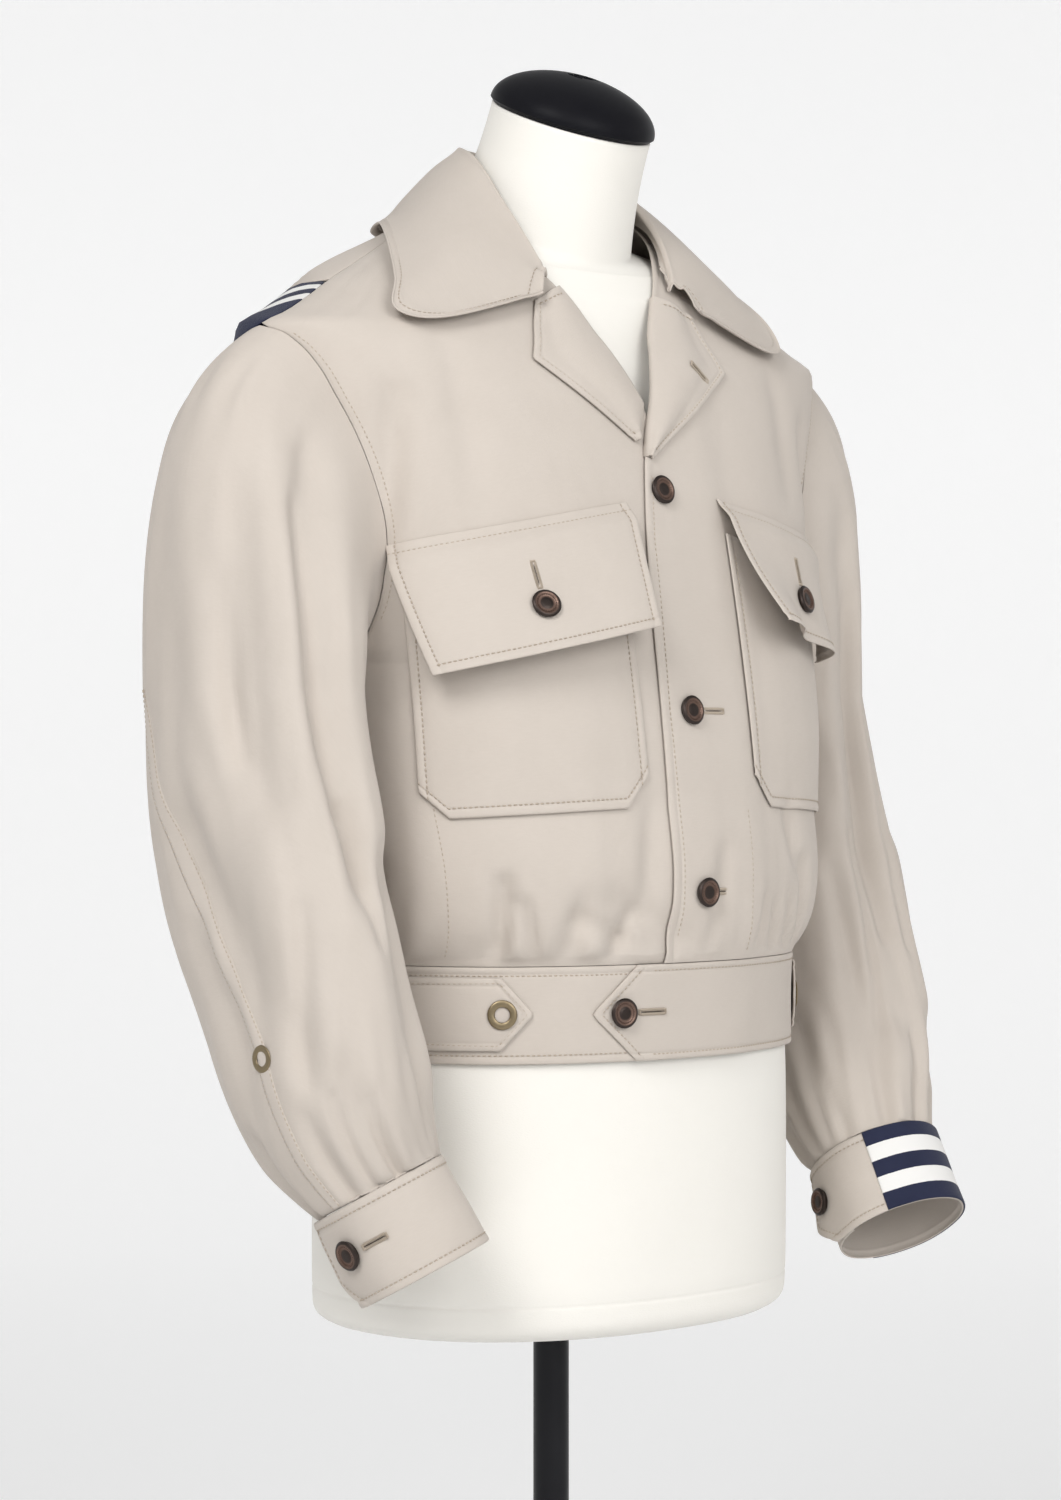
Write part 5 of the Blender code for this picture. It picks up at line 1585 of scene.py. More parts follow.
def sleeve_waves(side, turn, along):
    """Drag lines down the sleeve and gathers at its head and above the cuff."""
    around = math.radians(turn)
    spot = Vector((math.cos(around) * 2.1, math.sin(around) * 2.1, along * 3.4))
    spot += Vector((0.0, 0.0, 40.0 * SIDES[side]))
    broad = noise.noise(spot) * 0.0055
    fine = noise.noise(spot * 2.3) * 0.0026
    head = 0.0021 * math.sin(around * 17.0) * max(math.cos(around), 0.0) ** 2
    head *= math.exp(-(((along - 0.055) / 0.045) ** 2))
    pleats = noise.noise(Vector((around * 4.4, along * 6.0, 50.0 * SIDES[side])))
    pleats *= 0.0075 * math.exp(-max(0.985 - along, 0.0) / 0.075)
    inside = ease(along, 0.0, 0.06) * ease(along, 1.0, 0.965)
    return (broad + fine) * inside * ease(along, 0.04, 0.3) + head + pleats * inside


def sleeve_place(side, turn, along, lift=0.0):
    extra = sleeve_waves(side, turn, along)
    extra -= trough(FINE_SLEEVE_FOLDS[side], turn, along, SLEEVE_FOLD_LENGTH, turns=True) * 2.0
    extra -= trough(SLEEVE_FOLDS[side], turn, along, SLEEVE_FOLD_LENGTH, turns=True) * 0.75
    strength = bpy.context.scene.jacket_sizes.fold_strength
    return sleeve_point(side, turn, along, lift + extra * strength)


def from_sleeve(side, point):
    """Straight away from a sleeve's upright middle line."""
    return Vector((point.x - SIDES[side] * 0.262, point.y + 0.03, 0.0))


def make_sleeve(side):
    def place(u, v, lift=0.0):
        return sleeve_place(side, 360.0 * u, v, lift)

    return make_cloth(
        "sleeve_" + side, place, (None, None, "seam", "seam"),
        partial(from_sleeve, side),
        closed=True, step=0.0046,
    )


def make_sleeve_seam(side):
    """The felled seam down the back of the sleeve, a low welt between two stitch lines."""

    def place(u, v, lift=0.0):
        along = SEAM_FROM + (SEAM_TO - SEAM_FROM) * v
        turn = sleeve_seam_turn(along) + (u - 0.5) * SEAM_TURN
        round_top = math.sin(math.pi * min(max(u, 0.0), 1.0)) ** 0.5
        rise = 0.0001 + 0.0011 * round_top * ease(v, 0.0, 0.06)
        return sleeve_place(side, turn, along, rise + lift)

    return make_cloth(
        "sleeve_seam_" + side, place, (None,) * 4,
        partial(from_sleeve, side),
        step=0.0022, wall=0.0005, alone=True,
    )


def cuff_place(side, u, v, lift=0.0):
    cut = CUFF_CHAMFER * max(v - 0.66, 0.0) / 0.34
    travel = (360.0 + CUFF_OVERLAP - cut) * u
    wave = 0.0008 * noise.noise(Vector((travel * 0.03, v * 2.0, 61.0 * SIDES[side])))
    return cuff_point(side, travel, CUFF_HEIGHT * v, lift + wave)


def from_cuff(side, point):
    """Straight away from a cuff's own axis."""
    centre, axis, _, _ = cuff_frame(side)
    away = point - centre
    return away - axis * away.dot(axis)


def make_cuff(side):
    return make_cloth(
        "cuff_" + side, partial(cuff_place, side),
        ("hem", "hem", "hem", "hem"), partial(from_cuff, side),
        step=0.004,
        pointed=True,
    )


def make_cuff_stripe():
    def place(u, v, lift=0.0):
        travel = STRIPE_FROM + (STRIPE_TO - STRIPE_FROM) * u
        cut = 360.0 + CUFF_OVERLAP - CUFF_CHAMFER * max(v - 0.66, 0.0) / 0.34
        base = cuff_place("left", travel / cut, v, 0.0)
        away = from_cuff("left", base).normalized()
        return base + away * (0.0014 + lift)

    return make_cloth(
        "cuff_left_stripe", place, ("fold", "fold", "fold", "fold"),
        partial(from_cuff, "left"), finish="cuff_stripes", slot="striped_cotton", step=0.004,
        wall=0.0009,
    )


def stitch_shape(length, wide, high):
    """One stitch as a thread that dips into the cloth at both ends."""
    points = [(-length / 2, 0.0, -high * 0.4), (length / 2, 0.0, -high * 0.4)]
    for x in (-length * 0.3, length * 0.3):
        points += [(x, -wide / 2, 0.0), (x, 0.0, high), (x, wide / 2, 0.0)]
    faces = [(0, 3, 2), (0, 4, 3), (2, 3, 6, 5), (3, 4, 7, 6), (1, 5, 6), (1, 6, 7)]
    faces += [(0, 2, 5, 1), (0, 1, 7, 4)]
    return np.array(points), faces


class Thread:
    """Collects stitches that are sewn along lines on the cloth, then makes one piece."""

    def __init__(self):
        self.points = []
        self.faces = []

    def stitch(self, at, along, out, length, wide=0.0009, high=0.00052):
        along = along.normalized()
        side = out.cross(along).normalized()
        out = along.cross(side).normalized()
        directions = np.array([tuple(along), tuple(side), tuple(out)])
        shape, faces = stitch_shape(length, wide, high)
        first = len(self.points)
        self.points.extend((shape @ directions + np.array(tuple(at))).tolist())
        self.faces.extend([tuple(first + i for i in face) for face in faces])

    def sew(self, at, count=80):
        """Stitches along at(t, lift), a curve on the cloth."""
        pitch = bpy.context.scene.jacket_sizes.stitch_pitch
        ts = np.linspace(0.0, 1.0, count)
        points = [at(t, 0.0) for t in ts]
        lengths = np.concatenate(
            [[0.0], np.cumsum([(b - a).length for a, b in zip(points, points[1:])])]
        )
        steps = int(lengths[-1] / pitch)
        for i in range(steps):
            near = (i + 0.5) / steps * lengths[-1]
            low, high = (
                float(np.interp(near + d, lengths, ts)) for d in (-pitch * 0.3, pitch * 0.3)
            )
            t = float(np.interp(near, lengths, ts))
            spot = at(t, 0.0)
            out = at(t, STITCH_PROBE) - spot
            if out.length < 1e-7 or high <= low:
                continue
            out.normalize()
            along = at(high, 0.0) - at(low, 0.0)
            self.stitch(spot - out * STITCH_SINK, along, out, pitch * 0.74)

    def piece(self, name, finish="thread"):
        settle(mesh_object(name, self.points, self.faces, finish), "cotton")


def inset_line(place, edge, inset, low, high):
    """A line on a piece, inset from one edge: u0, u1, v0 or v1, between two shares of it."""

    def at(t, lift):
        share = low + (high - low) * t
        if edge[0] == "u":
            reach = inset / max(row_length(place, share, 5), 1e-4)
            u = reach if edge[1] == "0" else 1 - reach
            return place(u, share, lift)
        reach = inset / max(column_length(place, share, 5), 1e-4)
        v = reach if edge[1] == "0" else 1 - reach
        return place(share, v, lift)

    return at


def sew_edges(thread, place, edges, inset=HEM_INSET):
    """Topstitching beside several edges of a piece: (edge, low, high) each."""
    for edge, low, high in edges:
        thread.sew(inset_line(place, edge, inset, low, high))


def sew_body(thread, places, side=None):
    """Topstitching through places given as distance round and height on the body."""

    def at(t, lift):
        rank = t * (len(places) - 1)
        index = min(int(rank), len(places) - 2)
        first, second = places[index], places[index + 1]
        share = rank - index
        arc = first[0] + (second[0] - first[0]) * share
        z = first[1] + (second[1] - first[1]) * share
        if side:
            return front_point(side, arc, z, lift)
        return panel_point(angle_at_arc(arc, z), z, lift)

    thread.sew(at)


def on_sleeve_seam(side, across, t, lift):
    """A place on the felled seam, across its width and down it."""
    along = SEAM_FROM + (SEAM_TO - SEAM_FROM) * t
    turn = sleeve_seam_turn(along) + (across - 0.5) * SEAM_TURN
    return sleeve_place(side, turn, along, 0.0006 + lift)


def make_stitches():
    """All the topstitching of the jacket, by groups so that each stays a light mesh."""
    panels = Thread()
    for side in SIDES:
        pocket_edges = (("u0", 0.0, 0.92), ("u1", 0.0, 0.92), ("v0", 0.0, 1.0))
        sew_edges(panels, partial(pocket_place, side), pocket_edges)
        flap_edges = (("u0", 0.0, 0.95), ("u1", 0.0, 0.95), ("v1", 0.03, 0.97), ("v0", 0.0, 1.0))
        sew_edges(panels, partial(flap_place, side), flap_edges)
        lapel_edges = (("u1", 0.04, 0.97), ("v1", 0.16, 0.97))
        sew_edges(panels, partial(lapel_place, side), lapel_edges, LAPEL_INSET)
    placket = [(-0.0190, 0.775), (-0.0190, 0.926), (-0.0130, 1.040), (-0.0050, 1.085)]
    sew_body(panels, placket, "left")
    facing = [(0.0470, 0.764), (0.0470, 0.860)]
    sew_body(panels, facing, "left")
    for side, sign in SIDES.items():
        sew_body(panels, [(sign * 0.185, 0.764), (sign * 0.196, 0.87)], side)
        edge = [
            (arc_at_angle(sign * front_outer_angle(z), z) - sign * 0.006, z)
            for z in np.linspace(0.985, 1.172, 24)
        ]
        sew_body(panels, edge)
        strip = [
            (arc_at_angle(sign * strip_inner_angle(z), z) + sign * STRIP_INSET, z)
            for z in np.linspace(0.765, 1.165, 30)
        ]
        sew_body(panels, strip)
    panels.piece("panel_stitching")

    trims = Thread()
    band_edges = (("v0", 0.0, 0.985), ("v1", 0.0, 0.985), ("u1", 0.06, 0.94))
    sew_edges(trims, band_place, band_edges, BAND_INSET)
    for side in SIDES:
        tab = partial(tab_place, side)
        sew_edges(trims, tab, (("v0", 0.03, 1.0), ("v1", 0.03, 1.0), ("u0", 0.08, 0.92)), TAB_INSET)
        sew_edges(trims, tab, (("u1", 0.05, 0.95),), TAB_END_INSET)
        cuff_edges = (("v0", 0.03, 0.985), ("v1", 0.0, 0.99), ("u1", 0.08, 0.93))
        sew_edges(trims, partial(cuff_place, side), cuff_edges, CUFF_INSET)
    collar_edges = (("v1", 0.012, 0.988), ("u0", 0.55, 0.96), ("u1", 0.55, 0.96))
    sew_edges(trims, collar_place, collar_edges, COLLAR_INSET)
    trims.piece("trim_stitching")

    sleeves = Thread()
    for side in SIDES:
        for across in (0.10, 0.90):
            sleeves.sew(partial(on_sleeve_seam, side, across), count=140)
    sleeves.piece("sleeve_stitching")


def buttonhole(threads, slit_shadow_strips, place, middle, start, end, length, facing=None):
    """A worked buttonhole: two rows of close stitches with barred ends, and between them a thin
    dark strip of painted shade for the cut.

    place(a, b, lift) is the cloth. The hole lies at middle and points from start to end.
    It faces out as the cloth does at facing, or else at its middle.
    """
    along = (place(*end, 0.0) - place(*start, 0.0)).normalized()
    facing = facing or middle
    out = place(*facing, 0.01) - place(*facing, 0.0)
    at_middle = place(*middle, 0.0001)
    side = out.cross(along).normalized()
    count = int(length / 0.00085)
    for i in range(count):
        at = at_middle + along * (length * ((i + 0.5) / count - 0.5))
        for sign in (-1.0, 1.0):
            threads.stitch(at + side * sign * 0.0014, side, out, 0.0024, 0.0008, 0.0007)
    for sign in (-1.0, 1.0):
        for i in range(5):
            at = at_middle + along * sign * (length / 2 + 0.0006) + side * (i - 2) * 0.0008
            threads.stitch(at, along, out, 0.0020, 0.0009, 0.0008)
    # The cut is a thin dark strip of painted shade
    slit_shadow_strips.stitch(at_middle, along, out, length, 0.0006, 0.00025)


def on_band(arc, z, lift):
    return band_point(arc, z, LAYER + CLEAR + lift)


def make_buttonholes():
    # The second thread holds the thin dark strips of painted shade in the buttonholes' cuts
    threads, slit_shadow_strips = Thread(), Thread()
    work = partial(buttonhole, threads, slit_shadow_strips)
    for z in FRONT_BUTTONS[1:]:
        cloth = partial(front_point, "left")
        work(cloth, (0.0215, z), (0.0, z), (0.03, z), 0.020, facing=(0.012, z))
    where, z = BAND_BUTTON + 0.0235, BAND_BUTTON_Z
    work(on_band, (where, z), (where - 0.01, z), (where + 0.01, z), 0.020)
    for side in SIDES:
        u, v = FLAP_BUTTON[side]
        v -= 0.235
        work(partial(flap_place, side), (u, v), (u, v - 0.05), (u, v + 0.05), 0.018)
    travel, down = CUFF_BUTTON["right"]
    cloth = partial(cuff_point, "right")
    work(cloth, (travel - 26, down), (travel - 32, down), (travel - 20, down), 0.017)
    work(partial(lapel_place, "left"), (0.62, 0.56), (0.52, 0.575), (0.72, 0.545), 0.021)
    threads.piece("buttonhole_stitching")
    slit_shadow_strips.piece("buttonhole_slit_shadows", "painted_slit_shade")


def in_edit(piece, wanted):
    """Opens the piece's faces for bpy.ops.mesh and selects those that wanted(face) picks."""
    bpy.ops.object.mode_set(mode="EDIT")
    bpy.ops.mesh.select_mode(type="FACE")
    mesh = bmesh.from_edit_mesh(piece.data)
    for element in [*mesh.verts, *mesh.edges, *mesh.faces]:
        element.select = False
    for face in mesh.faces:
        if wanted(face):
            face.select_set(True)
    bmesh.update_edit_mesh(piece.data)


def leave_edit(crease=None):
    """Back to object mode, smooth but for edges sharper than crease in degrees."""
    bpy.ops.object.mode_set(mode="OBJECT")
    if crease:
        bpy.ops.object.shade_smooth_by_angle(angle=math.radians(crease))


def bake_place():
    """Moves the active piece's place into its mesh."""
    bpy.ops.object.transform_apply(location=True, rotation=True, scale=True)


def push(rise):
    bpy.ops.mesh.extrude_region_move(TRANSFORM_OT_translate={"value": (0.0, 0.0, rise)})


def narrow(share, height=1.0):
    bpy.ops.transform.resize(value=(share, share, height))


def dress(piece, finish):
    piece.data.materials.clear()
    piece.data.materials.append(finish_of(finish))


def model_button():
    """One button at the origin facing +Z: a cylinder, inset and pressed into a dished face."""
    bpy.ops.mesh.primitive_cylinder_add(
        vertices=40, radius=BUTTON_RADIUS * 0.90, depth=BUTTON_THICK * 0.62,
        location=(0.0, 0.0, BUTTON_THICK * 0.31),
    )
    button = bpy.context.object

    def top(face):
        return face.normal.z > 0.9 and face.calc_center_median().length > 0.001

    in_edit(button, top)
    narrow(BUTTON_RADIUS / (BUTTON_RADIUS * 0.90))
    push(0.0011)
    narrow(0.90)
    for thickness, move in ((0.0010, 0.0003), (0.0011, -0.0003), (0.0006, -0.0006),
                            (0.0008, -0.0002), (0.0014, 0.0), (0.0009, 0.0004), (0.0012, 0.0001)):
        bpy.ops.mesh.inset(thickness=thickness, depth=0.0)
        bpy.ops.transform.translate(value=(0.0, 0.0, move))
    leave_edit()
    studs = []
    for i in range(BUTTON_STUDS):
        turn = 2 * math.pi * i / BUTTON_STUDS
        bpy.ops.mesh.primitive_uv_sphere_add(
            segments=8, ring_count=5, radius=0.00042,
            location=(0.0062 * math.cos(turn), 0.0062 * math.sin(turn), 0.00355),
        )
        studs.append(bpy.context.object)
    make_active(button)
    for stud in studs:
        stud.select_set(True)
    bpy.ops.object.join()
    bake_place()
    bpy.ops.object.shade_smooth_by_angle(angle=math.radians(35))
    layer = button.data.uv_layers.new(name="cloth")
    for loop in button.data.loops:
        place = button.data.vertices[loop.vertex_index].co
        layer.data[loop.index].uv = (place.x, place.y)
    for other in [uv.name for uv in button.data.uv_layers if uv.name != "cloth"]:
        button.data.uv_layers.remove(button.data.uv_layers[other])
    dress(button, "button")
    return button


def model_eyelet(outer, hole):
    """One eyelet at the origin facing +Z: a torus pressed flat."""
    half = (outer - hole) / 2
    bpy.ops.mesh.primitive_torus_add(
        major_segments=40, minor_segments=12, major_radius=(outer + hole) / 2, minor_radius=half
    )
    ring = bpy.context.object
    in_edit(ring, lambda face: True)
    narrow(1.0, EYELET_THICK * 0.62 / half)
    leave_edit()
    bpy.ops.object.shade_smooth()
    dress(ring, "eyelet")
    return ring


def copy_to(name, model, point, normal, slot):
    """A copy of a modelled piece, with its place in its own mesh."""
    made = add_object(name + "_piece", model.data.copy())
    turn = normal.to_track_quat("Z", "Y").to_matrix().to_4x4()
    made.data.transform(Matrix.Translation(point) @ turn)
    return settle(made, slot, name)


def make_buttons():
    model = model_button()
    forward = Vector((0.0, -1.0, 0.0))
    for number, z in enumerate(FRONT_BUTTONS, 1):
        seat = front_point("left", 0.0, z)
        normal = body_normal(0.0, z)
        copy_to(f"button_front_{number}", model, seat + normal * 0.0004, normal, "button_metal")
    seat = band_point(BAND_BUTTON, BAND_BUTTON_Z, LAYER + CLEAR)
    normal = (band_point(BAND_BUTTON, BAND_BUTTON_Z, 0.02) - seat).normalized()
    copy_to("button_band", model, seat + normal * 0.0006, normal, "button_metal")
    for side in SIDES:
        u, v = FLAP_BUTTON[side]
        on_flap = partial(flap_place, side)
        normal = surface_normal(on_flap, u, v, forward)
        seat = on_flap(u, v) + normal * 0.0004
        copy_to("button_flap_" + side, model, seat, normal, "button_metal")
        travel, down = CUFF_BUTTON[side]
        point = cuff_point(side, travel, down)
        normal = surface_normal(
            partial(cuff_point, side), travel, down, from_cuff(side, point), 1.0
        )
        copy_to("button_cuff_" + side, model, point + normal * 0.0006, normal, "button_metal")
    bpy.data.objects.remove(model)


def make_eyelets():
    for kind, (outer, hole) in EYELET_SIZES.items():
        model = model_eyelet(outer, hole)
        for side, sign in SIDES.items():
            if kind == "tab":
                arc = TAB_POINT[side] + sign * TAB_EYELET_IN
                point = band_point(arc, TAB_MIDDLE, LAYER + CLEAR + 0.0002)
                normal = (band_point(arc, TAB_MIDDLE, 0.02) - point).normalized()
            else:
                turn, along = SLEEVE_EYELET[side]
                point = sleeve_place(side, turn, along)
                away = Vector((point.x, 0.0, 0.0))
                on_sleeve = partial(sleeve_place, side)
                normal = surface_normal(on_sleeve, turn, along, away, 1.0)
            name = f"eyelet_{kind}_{side}"
            copy_to(name, model, point + normal * 0.0009, normal, "eyelet_metal")
        bpy.data.objects.remove(model)


def form_rings():
    """Rings of the form from its underside to the plane under the cap."""
    turns = [360.0 * i / FORM_TURNS for i in range(FORM_TURNS)]
    levels = list(np.linspace(FORM_BOTTOM, FORM_BOTTOM + 0.020, 9))
    levels += [0.5315, 0.5325, 0.5335, 0.5345, 0.5355]
    levels += list(np.linspace(0.545, FORM_SECTIONS[-1][0], 56))
    rings = []
    for z in levels:
        crease = 0.0007 * math.exp(-(((z - 0.5335) / 0.0010) ** 2))
        row = section_row(FORM_SECTIONS, z)
        ring = []
        for turn in turns:
            x, y = on_section(row, turn)
            away = Vector((x, y, 0.0)).normalized() * crease
            ring.append(Vector((x, y, z)) - away)
        rings.append(ring)
    for share in np.linspace(0.0, 1.0, 22):
        ring = []
        for angle in turns:
            ahead = math.cos(math.radians(angle))
            end = FORM_NECKLINE["front" if ahead > 0 else "back"]
            top = FORM_NECKLINE["side"] + (end - FORM_NECKLINE["side"]) * abs(ahead) ** 1.4
            z = FORM_SHOULDER_FROM + (top - FORM_SHOULDER_FROM) * share
            seam = 0.0009 * math.exp(-(((1.0 - share) / 0.03) ** 2))
            ring.append(body_point(angle, z) - body_normal(angle, z) * (FORM_INSET + seam))
        rings.append(ring)
    for share in np.linspace(0.0, 1.0, 26):
        y = NECK_BASE[0] + (NECK_CAP[0] - NECK_BASE[0]) * share
        z = NECK_BASE[1] + (NECK_CAP[1] - NECK_BASE[1]) * share
        radius = NECK_RADIUS + NECK_SPREAD * (1 - share) ** 2
        ring = []
        for turn in turns:
            across = radius * math.sin(math.radians(turn))
            ahead = -radius * math.cos(math.radians(turn))
            up = ahead * math.sin(NECK_TILT)
            ring.append(Vector((across, y + ahead * math.cos(NECK_TILT), z + up)))
        rings.append(ring)
    return rings


def make_form():
    """The stuffed torso, whole and smooth under its jersey."""
    rings = form_rings()
    points = [tuple(point) for ring in rings for point in ring]
    faces = [
        (i * FORM_TURNS + j, i * FORM_TURNS + (j + 1) % FORM_TURNS,
         (i + 1) * FORM_TURNS + (j + 1) % FORM_TURNS, (i + 1) * FORM_TURNS + j)
        for i in range(len(rings) - 1)
        for j in range(FORM_TURNS)
    ]
    faces.append(tuple(reversed(range(FORM_TURNS))))
    last = (len(rings) - 1) * FORM_TURNS
    faces.append(tuple(last + j for j in range(FORM_TURNS)))
    torso = mesh_object("torso", points, faces, "jersey")
    make_active(torso)
    in_edit(torso, lambda face: len(face.verts) > 4)
    bpy.ops.mesh.inset(thickness=0.004, depth=0.0)
    bpy.ops.mesh.inset(thickness=0.006, depth=0.0)
    leave_edit()
    settle(torso, "form_cloth", "form_body")


def make_cap():
    """The domed neck cap with its oval socket, cut from a sphere."""
    bpy.ops.mesh.primitive_uv_sphere_add(segments=72, ring_count=48, radius=CAP_RADIUS)
    cap = bpy.context.object
    in_edit(cap, lambda face: True)
    bpy.ops.mesh.bisect(
        plane_co=(0.0, 0.0, 0.0), plane_no=(0.0, 0.0, 1.0), use_fill=True, clear_inner=True
    )
    leave_edit()
    cap.data.transform(Matrix.Diagonal((1.0, 1.0, CAP_HEIGHT / CAP_RADIUS, 1.0)))

    def socket(face):
        middle = face.calc_center_median()
        oval = math.hypot(middle.x / CAP_SOCKET_RADIUS, middle.y / (CAP_SOCKET_RADIUS * 0.62))
        return face.normal.z > 0.2 and oval < 1.0

    in_edit(cap, socket)
    push(-0.0008)
    narrow(0.93)
    push(-CAP_SOCKET_DEPTH)
    narrow(0.96, 0.2)
    leave_edit()
    in_edit(cap, lambda face: face.normal.z < -0.9 and len(face.verts) > 4)
    push(-CAP_FOOT * 0.9)
    narrow(0.955)
    leave_edit(40)
    up = Vector((0.0, -math.sin(NECK_TILT), math.cos(NECK_TILT)))
    seat = Vector((0.0, *NECK_CAP)) + up * (CAP_FOOT + SEAM_GAP)
    turn = Matrix.Rotation(NECK_TILT, 4, "X")
    cap.data.transform(Matrix.Translation(seat) @ turn)
    dress(cap, "cap_black")
    cap.name = "domed_cap"
    settle(cap, "black_finish", "neck_cap")


def make_stand():
    """The pole, and the round base pressed up in steps to its hub."""
    bottom = BASE_HEIGHT + HUB_HEIGHT - 0.010
    top = FORM_BOTTOM - SEAM_GAP
    bpy.ops.mesh.primitive_cylinder_add(
        vertices=64, radius=POLE_RADIUS, depth=top - bottom,
        location=(0.0, 0.0, (top + bottom) / 2),
    )
    pole = bpy.context.object
    bake_place()
    in_edit(pole, lambda face: abs(face.normal.z) > 0.9)
    bpy.ops.mesh.inset(thickness=0.0015, depth=0.0)
    leave_edit(40)
    pole.name = "round_pole"
    dress(pole, "stand_black")
    settle(pole, "black_metal", "stand_pole")
    bpy.ops.mesh.primitive_cylinder_add(
        vertices=128, radius=BASE_RADIUS, depth=BASE_HEIGHT * 0.30,
        location=(0.0, 0.0, BASE_HEIGHT * 0.15),
    )
    base = bpy.context.object
    bake_place()
    in_edit(base, lambda face: face.normal.z > 0.9)
    radius = BASE_RADIUS
    steps = (
        (BASE_RADIUS - 0.0016, 0.0024), (BASE_RADIUS - 0.006, 0.0012),
        (BASE_RADIUS * 0.86, 0.0020), (BASE_RADIUS * 0.7, 0.0020),
        (BASE_RADIUS * 0.45, 0.0026), (HUB_RADIUS + 0.010, 0.0018),
        (HUB_RADIUS + 0.004, 0.0012), (HUB_RADIUS + 0.001, 0.0050),
        (HUB_RADIUS, HUB_HEIGHT - 0.0105), (HUB_RADIUS - 0.0012, 0.0020),
        (HUB_RADIUS - 0.0035, 0.0010), (POLE_RADIUS + 0.0008, 0.0),
        (POLE_RADIUS + 0.0004, -0.0008), (POLE_RADIUS + 0.0002, -0.0082),
    )
    for target, rise in steps:
        push(rise)
        narrow(target / radius)
        radius = target
    leave_edit(30)
    base.name = "round_base"
    dress(base, "stand_black")
    settle(base, "black_metal", "stand_base")


def make_backdrop(shade):
    """A pale floor that curves up into a wall all round, as one smooth bowl whose paper glows with
    painted light, more on the side away from the camera.
    """
    bpy.ops.mesh.primitive_circle_add(
        vertices=96, radius=FLOOR_RADIUS, fill_type="NGON", location=(0.0, 0.0, -0.0006)
    )
    bowl = bpy.context.object
    bpy.ops.object.mode_set(mode="EDIT")
    bpy.ops.mesh.select_all(action="SELECT")
    bpy.ops.mesh.inset(thickness=2.0, depth=0.0)
    bpy.ops.mesh.select_mode(type="EDGE")
    outline = bmesh.from_edit_mesh(bowl.data)
    for edge in outline.edges:
        edge.select_set(False)
    for edge in outline.edges:
        if edge.is_boundary:
            edge.select_set(True)
    bmesh.update_edit_mesh(bowl.data)
    radius, steps = FLOOR_RADIUS, 10
    for i in range(steps):
        turn = math.pi / 2 * (i + 1) / steps
        target = FLOOR_RADIUS + WALL_CURVE * math.sin(turn)
        rise = WALL_CURVE * (math.cos(math.pi / 2 * i / steps) - math.cos(turn))
        bpy.ops.mesh.extrude_edges_move(TRANSFORM_OT_translate={"value": (0.0, 0.0, rise)})
        narrow(target / radius)
        radius = target
    bpy.ops.mesh.extrude_edges_move(TRANSFORM_OT_translate={"value": (0.0, 0.0, WALL_TOP)})
    leave_edit()
    bpy.ops.object.shade_smooth()
    bowl.name = "studio_bowl"
    graph = Graph("studio paper")
    grain = graph.noise(graph.object_place(), 60.0, 2.0)
    paper = graph.mix(grain, (shade * 0.985,) * 3 + (1.0,), (shade,) * 3 + (1.0,))
    # Painted light: the paper glows, from GLOW_BEFORE on the camera's side to GLOW_BEHIND on the
    # far side
    ahead = graph.node(
        "ShaderNodeVectorMath", {"operation": "DOT_PRODUCT"},
        at0=graph.object_place(), at1=GLOW_SLOPE,
    )
    behind = (graph.value(ahead, "Value") * 0.5 + 0.5).clamped()
    level = behind * (GLOW_BEHIND - GLOW_BEFORE) + GLOW_BEFORE
    glow = graph.mix(level, (0.0, 0.0, 0.0, 1.0), (1.0, 1.0, 1.0, 1.0))
    bowl.data.materials.clear()
    bowl.data.materials.append(
        graph.surface(Base_Color=paper, Roughness=0.9, Emission_Color=glow,
                      Emission_Strength=PAPER_GLOW, Specular_IOR_Level=0.1)
    )


def add_area_light(name, place, size, power):
    lamp = bpy.data.lights.new(name, "AREA")
    lamp.shape = "DISK"
    lamp.size = size
    lamp.energy = power
    holder = add_object(name, lamp)
    holder.location = place
    aim = (Vector(LIGHT_TARGET) - Vector(place)).to_track_quat("-Z", "Y")
    holder.rotation_euler = aim.to_euler()


def make_camera():
    lens = bpy.data.cameras.new("view of the photograph")
    lens.lens = CAMERA_LENS
    lens.sensor_width = 36.0
    lens.sensor_fit = "AUTO"
    lens.shift_x = CAMERA_SHIFT
    lens.dof.use_dof = False
    camera = add_object("camera", lens)
    camera.location = CAMERA_PLACE
    camera.rotation_euler = (math.radians(90.0), 0.0, math.radians(CAMERA_TURN))
    bpy.context.scene.camera = camera


class JacketSizes(bpy.types.PropertyGroup):
    """Sizes of the cloth and its sewing"""

    cloth_wall: bpy.props.FloatProperty(
        name="Cloth thickness", description="Thickness of the fine sheets",
        default=0.0012, min=0.0006, max=0.0018, unit="LENGTH", precision=4,
    )
    stitch_pitch: bpy.props.FloatProperty(
        name="Stitch pitch", description="Distance from one topstitch to the next",
        default=0.0036, min=0.0025, max=0.0060, unit="LENGTH", precision=4,
    )
    fold_strength: bpy.props.FloatProperty(
        name="Fold strength", description="How strongly the cloth creases and drapes",
        default=1.0, min=0.0, max=1.5, subtype="FACTOR",
    )


def colour_field(name, description, default):
    return bpy.props.FloatVectorProperty(
        name=name, description=description, default=default, subtype="COLOR", min=0.0, max=1.0
    )


